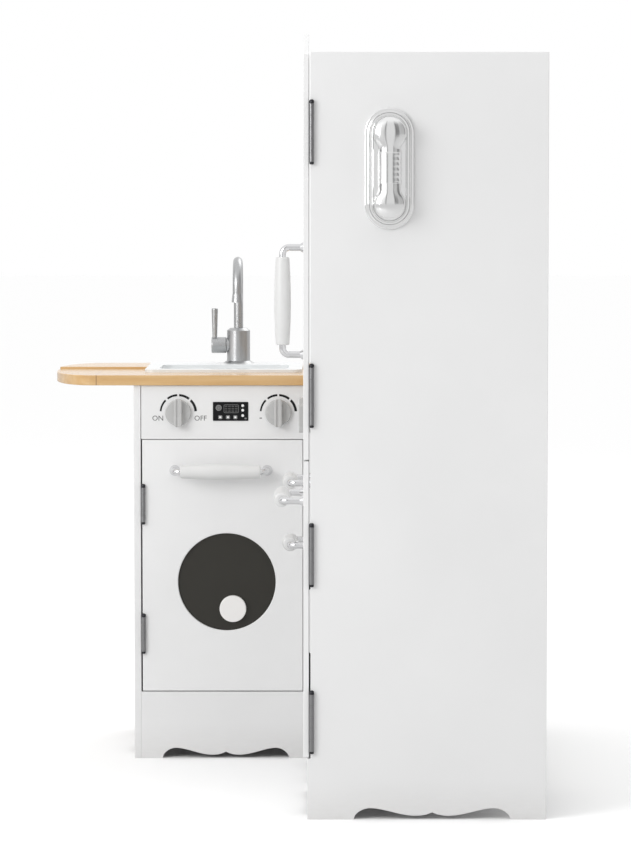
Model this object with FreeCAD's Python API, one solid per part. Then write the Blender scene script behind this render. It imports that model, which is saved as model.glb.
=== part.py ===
"""Corner toy kitchen: a fridge and an oven unit in one leg, a sink and washing machine unit in the wing.

Everything is built in the corner frame and moved to the row frame as it is saved.
Corner frame: X = 0 is the front plane of the fridge and oven leg, and +X goes to its back. Y = 0 is the
outer face of the fridge's side, and +Y goes to the wing. Z = 0 is the floor.
"""
import FreeCAD
import Part

import math
import os

V = FreeCAD.Vector
X_AXIS, Y_AXIS, Z_AXIS = V(1, 0, 0), V(0, 1, 0), V(0, 0, 1)

# ---- driving dimensions, millimetres ----
BOARD = 9.5                # carcass boards
THIN_BOARD = 4.0           # back boards
DOOR_GAP = 2.0             # beside every door and drawer front, where the hinge leaves lie
FOOT_GAP = 1.2             # under every door and drawer front
EDGE_ROUND = 0.8           # sanded and painted board edges

LEG_DEPTH = 296.0          # front plane to back, fridge and oven
FRIDGE_WIDTH = 240.0
FRIDGE_HEIGHT = 960.0
OVEN_WIDTH = 240.0
WING_WIDTH = 245.5         # sink unit, along the wall
WING_DEPTH = 292.0
CABINET_HEIGHT = 520.5     # underside of the worktop
PLINTH_HEIGHT = 93.3       # top of the wing's skirt, under its door
FRONT_TOP = 444.7          # top of the oven and wing doors
PANEL_BOTTOM = 445.6       # bottom of the control panels

# fridge doors lie over the carcass front
FRIDGE_DOOR = 7.0
FRIDGE_DOOR_FACE = -9.0
LOWER_DOOR_Z = (78.5, 451.2)
UPPER_DOOR_Z = (453.2, 957.0)
CREST_TOP = 987.0
FOOT_STEP = 4.0            # the foot stands forward under the lower door

# worktop
TOP_THICK = 14.0
REAR_TOP_THICK = 17.0
TOP_OVERHANG = 5.0
TOP_LEFT_END = -361.0      # tip of the rounded end
TOP_END_DEPTH = 59.0       # how far the rounded end reaches past the straight edge
TOP_JOINT_Y = 656.0        # joint of the front and rear boards

# sink
SINK_X, SINK_Y = (-234.0, -12.0), (552.0, 771.0)
BASIN_X, BASIN_Y = (-214.0, -32.0), (570.0, 690.0)
BASIN_DEPTH = 50.0
SINK_WALL = 2.5
RIM_TOP = 539.0
FAUCET_X, FAUCET_Y = -106.0, 745.0

# doors, knobs and handles of the wing
DRUM_X, DRUM_Z = -116.8, 246.8
WINDOW_R = 67.8
WING_KNOBS_X = (-183.9, -45.3)
OVEN_KNOBS_Y = (285.0, 435.0)
KNOB_Z = 482.4            # washing machine knobs
OVEN_KNOB_Z = 487.0
KNOB_R = 18.0
HANDLE_Z = 400.0           # drawer handle
DIVIDER_TOP = 358.0        # board under the drawer

# telephone
PHONE_X, PHONE_Z = 98.2, 815.5
PHONE_W, PHONE_H = 62.0, 150.6

# hinges
KNUCKLE_R = 3.0
PIN_R = 1.2
PIN_FIT = 0.05
PIN_HEAD = 5.0
PIVOT_OUT = 3.1            # pivot to the face that the hinge stands on
PIVOT_SIDE = 1.5           # pivot to the edge of the gap
FRIDGE_HINGE = 72.0
CABINET_HINGE = 48.0

FILLER_WIDTH = 48.0        # fixed strip in the corner, so that doors and handles clear each other

# ---- derived places in the corner frame ----
OVEN_Y0 = FRIDGE_WIDTH
WING_Y0 = FRIDGE_WIDTH + OVEN_WIDTH
WING_Y1 = WING_Y0 + WING_DEPTH
WING_X0 = -WING_WIDTH
FILLER_Y0 = WING_Y0 - FILLER_WIDTH
OVEN_MIDDLE = (OVEN_Y0 + FILLER_Y0) / 2
TOP_Y0, TOP_Y1 = WING_Y0 - TOP_OVERHANG, WING_Y1 + TOP_OVERHANG
FRONT_TOP_Z = CABINET_HEIGHT + TOP_THICK
REAR_TOP_Z = CABINET_HEIGHT + REAR_TOP_THICK

PHONE_FRONT_Y = -30.07     # foremost point of the handset
ORIGIN = V((TOP_LEFT_END + LEG_DEPTH) / 2, (PHONE_FRONT_Y + TOP_Y1) / 2, 0)


# ---- general shapes ----
def board(x, y, z):
    """A square board from its three (low, high) ranges."""
    return Part.makeBox(x[1] - x[0], y[1] - y[0], z[1] - z[0], V(x[0], y[0], z[0]))


def cylinder(radius, start, axis, length):
    return Part.makeCylinder(radius, length, V(*start), axis)


def round_all(shape, radius=EDGE_ROUND):
    """Rounds every edge, as sanded and painted board has."""
    return shape.makeFillet(radius, shape.Edges)


def painted(x, y, z):
    return round_all(board(x, y, z))


def upright_edges(shape):
    """Straight edges that run along Z."""
    found = []
    for edge in shape.Edges:
        a, b = edge.Vertexes[0].Point, edge.Vertexes[-1].Point
        if abs(a.x - b.x) < 1e-6 and abs(a.y - b.y) < 1e-6 and abs(a.z - b.z) > 1e-6:
            found.append(edge)
    return found


def rounded_block(x, y, z, radius):
    """A block with its four upright corners rounded."""
    block = board(x, y, z)
    return block.makeFillet(radius, upright_edges(block))


def compound(shapes):
    return Part.makeCompound(shapes)


def save(node, shape):
    """Moves a shape from the corner frame to the row frame and writes it."""
    moved = shape.copy()
    moved.translate(ORIGIN * -1)
    moved.exportStep(f"parts/{node}.step")


# ---- scalloped foot line ----
def scallop(half_width, thickness):
    """The space cut out between two feet: local X along the board, Z up, extruded along +Y from Y = 0."""
    shoulder, low, cusp = half_width * 0.79, half_width * 0.215, 0.0
    shoulder_z, low_z, cusp_z = 14.5, 4.8, 9.2
    tall = shoulder_z
    wide = half_width - shoulder
    kappa = 0.55
    corner = Part.BezierCurve()
    corner.setPoles([V(-half_width, 0, 0), V(-half_width, 0, tall * kappa),
                     V(-shoulder - wide * (1 - kappa), 0, tall), V(-shoulder, 0, tall)])
    run = shoulder - low
    sweep = Part.BezierCurve()
    sweep.setPoles([V(-shoulder, 0, tall), V(-shoulder + run * 0.3, 0, tall),
                    V(-low - run * 0.35, 0, low_z), V(-low, 0, low_z)])
    lip = Part.BezierCurve()
    lip.setPoles([V(-low, 0, low_z), V(-low * 0.45, 0, low_z), V(-low * 0.2, 0, cusp_z - 2), V(cusp, 0, cusp_z)])
    left = [corner.toShape(), sweep.toShape(), lip.toShape()]
    right = [edge.mirror(V(0, 0, 0), X_AXIS) for edge in reversed(left)]
    below = -2.0
    sides = [Part.makeLine(V(half_width, 0, 0), V(half_width, 0, below)),
             Part.makeLine(V(half_width, 0, below), V(-half_width, 0, below)),
             Part.makeLine(V(-half_width, 0, below), V(-half_width, 0, 0))]
    wire = Part.Wire(Part.__sortEdges__(left + right + sides))
    return Part.Face(wire).extrude(V(0, thickness, 0))


def scallop_along_x(centre_x, y, half_width):
    cut = scallop(half_width, y[1] - y[0])
    cut.translate(V(centre_x, y[0], 0))
    return cut


def scallop_along_y(centre_y, x, half_width):
    cut = scallop(half_width, x[1] - x[0])
    cut.rotate(V(0, 0, 0), Z_AXIS, -90)
    cut.translate(V(x[0], centre_y, 0))
    return cut


# ---- back board screws ----
SCREW_HEAD_R, SCREW_HEAD_H = 3.5, 1.2
SCREW_R, SCREW_LENGTH = 1.5, 16.0


def screw(x, y, z, axis):
    """A flat-headed screw whose head is flush at (x, y, z); axis points into the board."""
    head = cylinder(SCREW_HEAD_R, (x, y, z), axis, SCREW_HEAD_H)
    shank = cylinder(SCREW_R, (x, y, z), axis, SCREW_LENGTH)
    cross = []
    for angle in (0, 90):
        bar = Part.makeBox(0.8, 4.4, 0.9, V(-0.4, -2.2, 0))
        bar.rotate(V(0, 0, 0), Z_AXIS, angle)
        cross.append(bar)
    recess = cross[0].fuse(cross[1])
    turn = FreeCAD.Rotation(Z_AXIS, axis)
    recess.Placement = FreeCAD.Placement(V(x, y, z), turn)
    return head.fuse(shank).cut(recess)


BACK_SCREWS = []           # (point, axis into the board)
for side_y in (BOARD / 2, FRIDGE_WIDTH - BOARD / 2):
    for screw_z in (140.0, 400.0, 660.0, 920.0):
        BACK_SCREWS.append(((LEG_DEPTH, side_y, screw_z), X_AXIS * -1))
for side_y in (WING_Y0 - BOARD / 2, WING_Y1 - BOARD / 2):
    for screw_z in (140.0, 300.0, 460.0):
        BACK_SCREWS.append(((LEG_DEPTH, side_y, screw_z), X_AXIS * -1))
for side_x in (WING_X0 + BOARD / 2, -BOARD / 2):
    for screw_z in (140.0, 300.0, 460.0):
        BACK_SCREWS.append(((side_x, WING_Y1, screw_z), Y_AXIS * -1))


def drilled(shape, slack=0.0):
    """Cuts the back screws' heads and shanks out of a board."""
    cutters = []
    for (x, y, z), axis in BACK_SCREWS:
        cutters.append(cylinder(SCREW_HEAD_R + slack, (x, y, z), axis, SCREW_HEAD_H))
        cutters.append(cylinder(SCREW_R + slack, (x, y, z), axis, SCREW_LENGTH))
    return shape.cut(cutters)


# ---- carcass ----
SIDE_SCALLOP_HALF = 98.3
SIDE_SCALLOP_X = 152.7
SKIRT_SCALLOP_HALF = 88.0
PHONE_SCREWS_Z = (PHONE_Z - 58.0, PHONE_Z + 58.0)
DIVIDER_Z = (447.5, 457.0)
FRIDGE_SHELF_Z = 700.0
MAGNET = (12.0, 9.0, 26.0)


def fridge_side(y):
    """A fridge side with its scalloped foot line and the foot that stands forward under the door."""
    side = board((0, LEG_DEPTH), y, (0, FRIDGE_HEIGHT))
    foot = board((-FOOT_STEP, 0), y, (0, LOWER_DOOR_Z[0] - 1.5))
    side = side.fuse(foot).removeSplitter()
    side = side.cut(scallop_along_x(SIDE_SCALLOP_X, y, SIDE_SCALLOP_HALF))
    outline = [e for e in side.Edges if e.BoundBox.YLength < 1e-6 and e.BoundBox.ZMax > 20]
    side = side.makeFillet(EDGE_ROUND, outline)
    return drilled(side)


def make_fridge_carcass():
    inner = (BOARD, FRIDGE_WIDTH - BOARD)
    outer = fridge_side((0, BOARD))
    for z in PHONE_SCREWS_Z:
        outer = outer.cut(cylinder(1.6, (PHONE_X, -1, z), Y_AXIS, BOARD - 1))
    save("fridge_outer_side", outer)
    save("fridge_inner_side", fridge_side((FRIDGE_WIDTH - BOARD, FRIDGE_WIDTH)))
    depth = (0, LEG_DEPTH - THIN_BOARD)
    levels = [LOWER_DOOR_Z[0], DIVIDER_Z[0], FRIDGE_SHELF_Z, FRIDGE_HEIGHT - BOARD]
    save("fridge_shelf_boards", compound([painted(depth, inner, (z, z + BOARD)) for z in levels]))


def make_plinths():
    """Scalloped boards between the sides at the foot of each unit, and the corner filler strip."""
    fridge_y = (BOARD, FRIDGE_WIDTH - BOARD)
    fridge_x = (-FOOT_STEP, BOARD - FOOT_STEP)
    fridge = board(fridge_x, fridge_y, (0, LOWER_DOOR_Z[0] - 1.5))
    fridge = fridge.cut(scallop_along_y(FRIDGE_WIDTH / 2, fridge_x, SKIRT_SCALLOP_HALF))
    oven_y = (OVEN_Y0, WING_Y0 - BOARD)
    oven_x = (0, BOARD)
    oven = board(oven_x, oven_y, (0, PLINTH_HEIGHT))
    oven = oven.cut(scallop_along_y(sum(oven_y) / 2, oven_x, SKIRT_SCALLOP_HALF))
    filler = painted((0, BOARD), (FILLER_Y0, WING_Y0 - BOARD), (PLINTH_HEIGHT, PANEL_BOTTOM - 0.4))
    save("leg_front_boards", compound([fridge, oven, filler]))
    skirt_x = (WING_X0 + BOARD, -BOARD)
    skirt_y = (WING_Y0, WING_Y0 + BOARD)
    skirt = board(skirt_x, skirt_y, (0, PLINTH_HEIGHT))
    skirt = skirt.cut(scallop_along_x(-118.5, skirt_y, SKIRT_SCALLOP_HALF))
    save("wing_skirt", skirt)


def make_back_boards():
    back_x = (LEG_DEPTH - THIN_BOARD, LEG_DEPTH)
    fridge = board(back_x, (BOARD, FRIDGE_WIDTH - BOARD), (LOWER_DOOR_Z[0], FRIDGE_HEIGHT))
    strap_hole = cylinder(2.25, (LEG_DEPTH + 1, FRIDGE_WIDTH / 2, STRAP_HOLE_Z), X_AXIS * -1, THIN_BOARD + 2)
    leg = board(back_x, (OVEN_Y0, WING_Y1), (BACK_BOTTOM, CABINET_HEIGHT))
    wing = board((WING_X0, 0.0), (WING_Y1 - THIN_BOARD, WING_Y1), (BACK_BOTTOM, CABINET_HEIGHT))
    save("back_boards", compound([fridge.cut(strap_hole), drilled(leg), drilled(wing)]))


STRAP_HOLE_Z = 930.0
BACK_BOTTOM = 30.0


def make_cabinets():
    """Side, floor and end boards of the oven unit, the blind corner and the wing."""
    far_y = (WING_Y0 - BOARD, WING_Y0)
    far = board((0, LEG_DEPTH - THIN_BOARD), far_y, (0, CABINET_HEIGHT))
    far = far.cut(scallop_along_x(SIDE_SCALLOP_X, far_y, SIDE_SCALLOP_HALF))
    save("oven_far_side", drilled(far))
    end_y = (WING_Y1 - BOARD, WING_Y1)
    end = board((0, LEG_DEPTH - THIN_BOARD), end_y, (0, CABINET_HEIGHT))
    end = end.cut(scallop_along_x(SIDE_SCALLOP_X, end_y, SIDE_SCALLOP_HALF))
    save("corner_end_board", drilled(end))

    wing_y = (WING_Y0, WING_Y1 - THIN_BOARD)
    middle_y = sum(wing_y) / 2
    for node, x in (("wing_outer_side", (WING_X0, WING_X0 + BOARD)), ("wing_inner_side", (-BOARD, 0))):
        side = board(x, wing_y, (0, CABINET_HEIGHT))
        side = side.cut(scallop_along_y(middle_y, x, SIDE_SCALLOP_HALF))
        tall = CABINET_HEIGHT / 2
        uprights = [e for e in side.Edges if e.BoundBox.YLength < 1e-6 and e.BoundBox.ZLength > tall]
        front = [e for e in uprights if abs(e.BoundBox.YMin - WING_Y0) < 1e-6]
        save(node, drilled(side.makeFillet(EDGE_ROUND, front)))

    oven_x, oven_y = (BOARD + 1.2, LEG_DEPTH - THIN_BOARD), (OVEN_Y0, WING_Y0 - BOARD)
    oven_floor = painted(oven_x, oven_y, (PLINTH_HEIGHT - BOARD, PLINTH_HEIGHT))
    divider = painted(oven_x, oven_y, (DIVIDER_TOP - BOARD, DIVIDER_TOP))
    wing_floor = painted((WING_X0 + BOARD, -BOARD), (WING_Y0 + BOARD + 1.2, WING_Y1 - THIN_BOARD),
                         (PLINTH_HEIGHT - BOARD, PLINTH_HEIGHT))
    save("cabinet_shelf_boards", compound([oven_floor, divider, wing_floor]))


def make_control_panels():
    """Boards above the doors, bored for the knob stems."""
    z = (PANEL_BOTTOM, CABINET_HEIGHT)
    oven = painted((0, BOARD), (OVEN_Y0 + 0.4, WING_Y0 - BOARD - 0.4), z)
    for y in OVEN_KNOBS_Y:
        oven = oven.cut(cylinder(STEM_R + STEM_FIT, (-1, y, OVEN_KNOB_Z), X_AXIS, BOARD + 2))
    save("oven_control_panel", oven)
    wing = painted((WING_X0 + BOARD + 0.8, -BOARD - 0.4), (WING_Y0, WING_Y0 + BOARD), z)
    for x in WING_KNOBS_X:
        wing = wing.cut(cylinder(STEM_R + STEM_FIT, (x, WING_Y0 - 1, KNOB_Z), Y_AXIS, BOARD + 2))
    save("wing_control_panel", wing)
    face = rounded_block((-24.5, 24.5), (-13.1, 13.1), (0, 0.8), 1.0)
    face.rotate(V(0, 0, 0), X_AXIS, 90)
    face.translate(V(-111.3, WING_Y0, 484.3))
    save("display_panel", face)


# ---- worktop ----
def worktop_slab(thickness):
    """The wing's worktop outline with its half-oval end, as one slab."""
    straight_x = TOP_LEFT_END + TOP_END_DEPTH
    middle_y = (TOP_Y0 + TOP_Y1) / 2
    oval = Part.Ellipse(V(straight_x, TOP_Y1, 0), V(TOP_LEFT_END, middle_y, 0), V(straight_x, middle_y, 0))
    edge = oval.toShape(0, math.pi)
    corners = [V(straight_x, TOP_Y0, 0), V(LEG_DEPTH, TOP_Y0, 0), V(LEG_DEPTH, TOP_Y1, 0),
               V(straight_x, TOP_Y1, 0)]
    lines = [Part.makeLine(a, b) for a, b in zip(corners, corners[1:])]
    wire = Part.Wire(Part.__sortEdges__(lines + [edge]))
    slab = Part.Face(wire).extrude(V(0, 0, thickness))
    slab.translate(V(0, 0, CABINET_HEIGHT))
    return slab


def sink_cut_out(z):
    clear = SINK_WALL + 1.2
    x = (BASIN_X[0] - clear, BASIN_X[1] + clear)
    y = (BASIN_Y[0] - clear, BASIN_Y[1] + clear)
    return rounded_block(x, y, z, 20.0)


def make_worktop():
    reach = 2000.0
    cut_out = sink_cut_out((CABINET_HEIGHT - 1, REAR_TOP_Z + 1))
    shank_hole = cylinder(SHANK_R + 0.3, (FAUCET_X, FAUCET_Y, CABINET_HEIGHT - 1), Z_AXIS, 30)
    front_half = board((-reach, reach), (TOP_Y0 - 10, TOP_JOINT_Y), (0, reach))
    rear_half = board((-reach, reach), (TOP_JOINT_Y, TOP_Y1 + 10), (0, reach))
    front = worktop_slab(TOP_THICK).common(front_half)
    rear = worktop_slab(REAR_TOP_THICK).common(rear_half)
    front_rim = [e for e in front.Edges if e.BoundBox.ZLength < 1e-6 and e.BoundBox.YMin < TOP_JOINT_Y - 1
                 and e.BoundBox.XMin < LEG_DEPTH - 1]
    rear_rim = [e for e in rear.Edges if e.BoundBox.ZLength < 1e-6 and e.BoundBox.XMin < LEG_DEPTH - 1
                and (e.BoundBox.YMax > TOP_JOINT_Y + 1 or e.BoundBox.ZMin > REAR_TOP_Z - 1)]
    front = front.makeFillet(1.0, front_rim)
    rear = rear.makeFillet(0.8, rear_rim)
    save("worktop_front_board", front.cut(cut_out))
    save("worktop_rear_board", rear.cut([cut_out, shank_hole]))
    leg = painted((-TOP_OVERHANG, LEG_DEPTH), (OVEN_Y0, TOP_Y0), (CABINET_HEIGHT, FRONT_TOP_Z))
    save("worktop_leg_board", leg)
    save("hob_plate", make_hob())


HOB_X, HOB_Y = (30.0, 262.0), (262.0, 452.0)
BURNERS_X = (86.0, 206.0)
BURNER_R, BURNER_BOSS_R = 44.0, 16.0


def make_hob():
    """Two low round burners on a thin glass-look plate."""
    plate = rounded_block(HOB_X, HOB_Y, (FRONT_TOP_Z, FRONT_TOP_Z + 2.5), 8.0)
    for x in BURNERS_X:
        ring = cylinder(BURNER_R, (x, sum(HOB_Y) / 2, FRONT_TOP_Z + 2.0), Z_AXIS, 2.0)
        ring = ring.cut(cylinder(BURNER_R - 5.0, (x, sum(HOB_Y) / 2, FRONT_TOP_Z + 1.0), Z_AXIS, 5.0))
        boss = cylinder(BURNER_BOSS_R, (x, sum(HOB_Y) / 2, FRONT_TOP_Z + 2.0), Z_AXIS, 2.0)
        plate = plate.fuse([ring, boss])
    return plate


# ---- sink and faucet ----
SHANK_R = 6.5
DRAIN_R = 14.0
BODY_R = 16.8
BODY_TOP = 590.0
SHOULDER = 3.5             # height of the sloping foot and of the sloping top
FAUCET_FOOT_R = 22.5
SPOUT_R = 6.75
SPOUT_REACH = 75.0
ARCH_Z = 650.0
NOZZLE_Z = 629.6
HUB_R = 11.7
HUB_X = (-145.4, -123.2)
HUB_Z = 565.0
LEVER_TOP = 618.7


def make_sink():
    rim = rounded_block(SINK_X, SINK_Y, (FRONT_TOP_Z, RIM_TOP), 14.0)
    over_rear = board((-400, 0), (TOP_JOINT_Y - 0.3, 900), (FRONT_TOP_Z - 1, REAR_TOP_Z))
    tub_x = (BASIN_X[0] - SINK_WALL, BASIN_X[1] + SINK_WALL)
    tub_y = (BASIN_Y[0] - SINK_WALL, BASIN_Y[1] + SINK_WALL)
    floor_z = RIM_TOP - BASIN_DEPTH
    tub = rounded_block(tub_x, tub_y, (floor_z - SINK_WALL, RIM_TOP), 20.0 - 1.2)
    hollow = rounded_block(BASIN_X, BASIN_Y, (floor_z, RIM_TOP + 5), 16.0)
    low = [e for e in hollow.Edges if abs(e.BoundBox.ZMax - floor_z) < 1e-6]
    hollow = hollow.makeFillet(10.0, low)
    basin = rim.cut(over_rear).fuse(tub).cut(hollow).removeSplitter()
    middle = (sum(BASIN_X) / 2, sum(BASIN_Y) / 2)
    basin = basin.cut(cylinder(DRAIN_R, (*middle, floor_z - 10), Z_AXIS, 20))
    basin = basin.cut(cylinder(SHANK_R + 0.3, (FAUCET_X, FAUCET_Y, RIM_TOP - 10), Z_AXIS, 20))
    top_rim = [e for e in basin.Edges if abs(e.BoundBox.ZMin - RIM_TOP) < 1e-6 and e.BoundBox.XLength > 0.5
               and not (e.BoundBox.XLength < 20 and e.BoundBox.YLength < 20 and e.BoundBox.XMin > -115
                        and e.BoundBox.XMax < -95)]
    basin = basin.makeFillet(0.8, top_rim)
    save("sink_basin", basin)

    drain = cylinder(DRAIN_R - 0.05, (*middle, floor_z - SINK_WALL), Z_AXIS, SINK_WALL)
    flange = cylinder(DRAIN_R + 3, (*middle, floor_z), Z_AXIS, 1.2)
    holes = []
    for n in range(6):
        angle = math.radians(60 * n)
        holes.append(cylinder(2.0, (middle[0] + 7.5 * math.cos(angle), middle[1] + 7.5 * math.sin(angle),
                                    floor_z - 10), Z_AXIS, 20))
    save("sink_drain", drain.fuse(flange).cut(holes))


def make_faucet():
    foot = Part.makeCone(FAUCET_FOOT_R, BODY_R + 0.6, SHOULDER, V(FAUCET_X, FAUCET_Y, RIM_TOP), Z_AXIS)
    body = cylinder(BODY_R, (FAUCET_X, FAUCET_Y, RIM_TOP), Z_AXIS, BODY_TOP - RIM_TOP - SHOULDER)
    cap = Part.makeCone(BODY_R, BODY_R - 4.5, SHOULDER, V(FAUCET_X, FAUCET_Y, BODY_TOP - SHOULDER), Z_AXIS)
    shank = cylinder(SHANK_R, (FAUCET_X, FAUCET_Y, 505), Z_AXIS, RIM_TOP - 505)
    spigot_hole = cylinder(SPIGOT_R + PIN_FIT, (FAUCET_X, FAUCET_Y, BODY_TOP - 22), Z_AXIS, 30)
    ear_x = FAUCET_X - BODY_R - 0.4
    ear = cylinder(HUB_R - 1.2, (ear_x, FAUCET_Y, HUB_Z), X_AXIS, 12.0)
    pin_hole = cylinder(SPIGOT_R + PIN_FIT, (ear_x - 1, FAUCET_Y, HUB_Z), X_AXIS, 13)
    save("faucet_body", foot.fuse([body, cap, shank, ear]).cut([spigot_hole, pin_hole]).removeSplitter())

    spigot = cylinder(SPIGOT_R, (FAUCET_X, FAUCET_Y, BODY_TOP - 21), Z_AXIS, 22)
    mouth_y = FAUCET_Y - SPOUT_REACH
    path = [Part.makeLine(V(FAUCET_X, FAUCET_Y, BODY_TOP + 0.3), V(FAUCET_X, FAUCET_Y, ARCH_Z)),
            Part.Arc(V(FAUCET_X, FAUCET_Y, ARCH_Z),
                     V(FAUCET_X, FAUCET_Y - SPOUT_REACH / 2, ARCH_Z + SPOUT_REACH / 2),
                     V(FAUCET_X, mouth_y, ARCH_Z)).toShape(),
            Part.makeLine(V(FAUCET_X, mouth_y, ARCH_Z), V(FAUCET_X, mouth_y, NOZZLE_Z))]
    tube = pipe(path, SPOUT_R)
    nozzle = Part.makeCone(SPOUT_R + 1.6, SPOUT_R + 0.3, 12.0, V(FAUCET_X, mouth_y, NOZZLE_Z), Z_AXIS)
    mouth = cylinder(5.0, (FAUCET_X, mouth_y, NOZZLE_Z - 1), Z_AXIS, 12)
    save("faucet_spout", tube.fuse([spigot, nozzle]).cut(mouth).removeSplitter())

    hub = cylinder(HUB_R, (HUB_X[0], FAUCET_Y, HUB_Z), X_AXIS, HUB_X[1] - HUB_X[0] - 0.4)
    hub = hub.makeFillet(1.5, [e for e in hub.Edges if e.BoundBox.XLength < 1e-6])
    lever_x = HUB_X[0] + 4.8
    stick = Part.makeCone(3.1, 4.6, LEVER_TOP - HUB_Z - 3, V(lever_x, FAUCET_Y, HUB_Z), Z_AXIS)
    tip = cylinder(4.6, (lever_x, FAUCET_Y, LEVER_TOP - 3), Z_AXIS, 3)
    top = [e for e in tip.Edges if abs(e.BoundBox.ZMin - LEVER_TOP) < 1e-6]
    tip = tip.makeFillet(1.5, top)
    pin = cylinder(SPIGOT_R, (HUB_X[1] - 3, FAUCET_Y, HUB_Z), X_AXIS, 12)
    save("faucet_lever", hub.fuse([stick, tip, pin]).removeSplitter())


SPIGOT_R = 4.5


def pipe(edges, radius):
    """A round bar swept along joined edges."""
    spine = Part.Wire(edges)
    first = spine.Edges[0]
    start = first.valueAt(first.FirstParameter)
    tangent = first.tangentAt(first.FirstParameter)
    ring = Part.Wire(Part.makeCircle(radius, start, tangent))
    return spine.makePipeShell([ring], True, False)


# ---- handles ----
BAR_R = 4.5
STAND_OFF = 27.6
BEND = 8.5                 # radius of the bar where it turns
FOOT_R, FOOT_H = 7.5, 5.0  # flared foot on the door
GRIP_END_R, GRIP_MID_R = 8.8, 10.8
GRIP_FIT = 0.03


def make_handle(node, centre, along, out, span, grip_length):
    """A bent chrome bar with a barrel grip. centre lies on the door's face, along and out are unit vectors."""
    c, a, o = V(*centre), along, out
    half = span / 2 - BAR_R
    foot_a, foot_b = c - a * half, c + a * half
    bend_top = STAND_OFF - BEND
    corner = BEND * (1 - math.sqrt(0.5))
    far_a, far_b = foot_a + o * STAND_OFF, foot_b + o * STAND_OFF
    path = [Part.makeLine(foot_a, foot_a + o * bend_top),
            Part.Arc(foot_a + o * bend_top, far_a - o * corner + a * corner, far_a + a * BEND).toShape(),
            Part.makeLine(far_a + a * BEND, far_b - a * BEND),
            Part.Arc(far_b - a * BEND, far_b - o * corner - a * corner, foot_b + o * bend_top).toShape(),
            Part.makeLine(foot_b + o * bend_top, foot_b)]
    bar = pipe(path, BAR_R)
    feet = [Part.makeCone(FOOT_R, BAR_R, FOOT_H, foot, o) for foot in (foot_a, foot_b)]
    save(f"{node}_bar", bar.fuse(feet).removeSplitter())

    middle = c + o * STAND_OFF
    start = middle - a * (grip_length / 2)
    # barrel profile in a plane through the axis, as a three-point arc
    side = o
    profile_in = BAR_R + GRIP_FIT
    p1, p2 = start + side * profile_in, start + side * GRIP_END_R
    p3 = middle + side * GRIP_MID_R
    p4, p5 = start + a * grip_length + side * GRIP_END_R, start + a * grip_length + side * profile_in
    barrel = Part.Arc(p2, p3, p4).toShape()
    wire = Part.Wire([Part.makeLine(p1, p2), barrel, Part.makeLine(p4, p5), Part.makeLine(p5, p1)])
    grip = Part.Face(wire).revolve(middle, a, 360)
    ends = [e for e in grip.Edges if e.Length > 2 * math.pi * (GRIP_END_R - 0.5)
            and e.Length < 2 * math.pi * (GRIP_END_R + 0.5) + 1]
    grip = grip.makeFillet(1.6, ends)
    save(f"{node}_grip", grip)


HANDLE_SCREW_R, HANDLE_SCREW_H = 4.0, 2.0


def handle_screws(centre, along, out, span, thickness):
    """Two pan-headed screws behind the door, in line with the handle's feet."""
    half = span / 2 - BAR_R
    made = []
    for sign in (-1, 1):
        back = V(*centre) + along * (sign * half) - out * thickness
        made.append(Part.makeCylinder(HANDLE_SCREW_R, HANDLE_SCREW_H, back - out * HANDLE_SCREW_H, out))
    return made


# ---- hinges ----
def hinge(pivot, z_mid, length, swap, near_is_fixed):
    """A butt hinge on an upright pin. The leaves lie side by side in the door's gap: local a is across the
    gap, away from it towards the pivot, and b runs into the gap. swap puts a along Y and b along X.
    Returns (fixed leaf, moving leaf, pin)."""
    def block(a, b, z):
        if swap:
            return board((pivot[0] + b[0], pivot[0] + b[1]), (pivot[1] + a[0], pivot[1] + a[1]), z)
        return board((pivot[0] + a[0], pivot[0] + a[1]), (pivot[1] + b[0], pivot[1] + b[1]), z)

    near, far = (-2.45, -1.55), (-3.45, -2.55)
    low = z_mid - length / 2
    count, slack = 5, 0.3
    pitch = length / count
    bore = cylinder(PIN_R + PIN_FIT, (*pivot, low - 1), Z_AXIS, length + 2)
    parts = {}
    for role, first in (("fixed", 0), ("moving", 1)):
        is_near = (role == "fixed") == near_is_fixed
        a = near if is_near else far
        solid = block(a, (3.5, 12.0), (low, low + length))
        for n in range(first, count, 2):
            z = (low + n * pitch + slack / 2, low + (n + 1) * pitch - slack / 2)
            knuckle = cylinder(KNUCKLE_R, (*pivot, z[0]), Z_AXIS, z[1] - z[0])
            tab = block(a, (0, 3.6), z)
            solid = solid.fuse([knuckle, tab])
        parts[role] = solid.cut(bore).removeSplitter()
    shaft = cylinder(PIN_R, (*pivot, low - 0.2), Z_AXIS, length + 0.4)
    head_z = low + length + 0.2
    top = cylinder(KNUCKLE_R + 0.1, (*pivot, head_z), Z_AXIS, PIN_HEAD)
    top = top.makeFillet(2.4, [e for e in top.Edges if abs(e.BoundBox.ZMin - head_z - PIN_HEAD) < 1e-6])
    bottom = cylinder(KNUCKLE_R - 0.2, (*pivot, low - 3.2), Z_AXIS, 3.0)
    bottom = bottom.makeFillet(1.6, [e for e in bottom.Edges if abs(e.BoundBox.ZMax - (low - 3.2)) < 1e-6])
    return parts["fixed"], parts["moving"], shaft.fuse([top, bottom])


FRIDGE_PIVOT = (PIVOT_SIDE, -PIVOT_OUT)
OVEN_PIVOT = (-PIVOT_OUT, OVEN_Y0 + DOOR_GAP + PIVOT_SIDE)
WASHER_PIVOT = (WING_X0 + BOARD + DOOR_GAP + PIVOT_SIDE, WING_Y0 - PIVOT_OUT)
UPPER_HINGES_Z = (860.0, 532.5)
LOWER_HINGES_Z = (333.0, 122.5)
OVEN_HINGES_Z = (290.0, 150.0)
WASHER_HINGES_Z = (354.5, 174.0)


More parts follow.
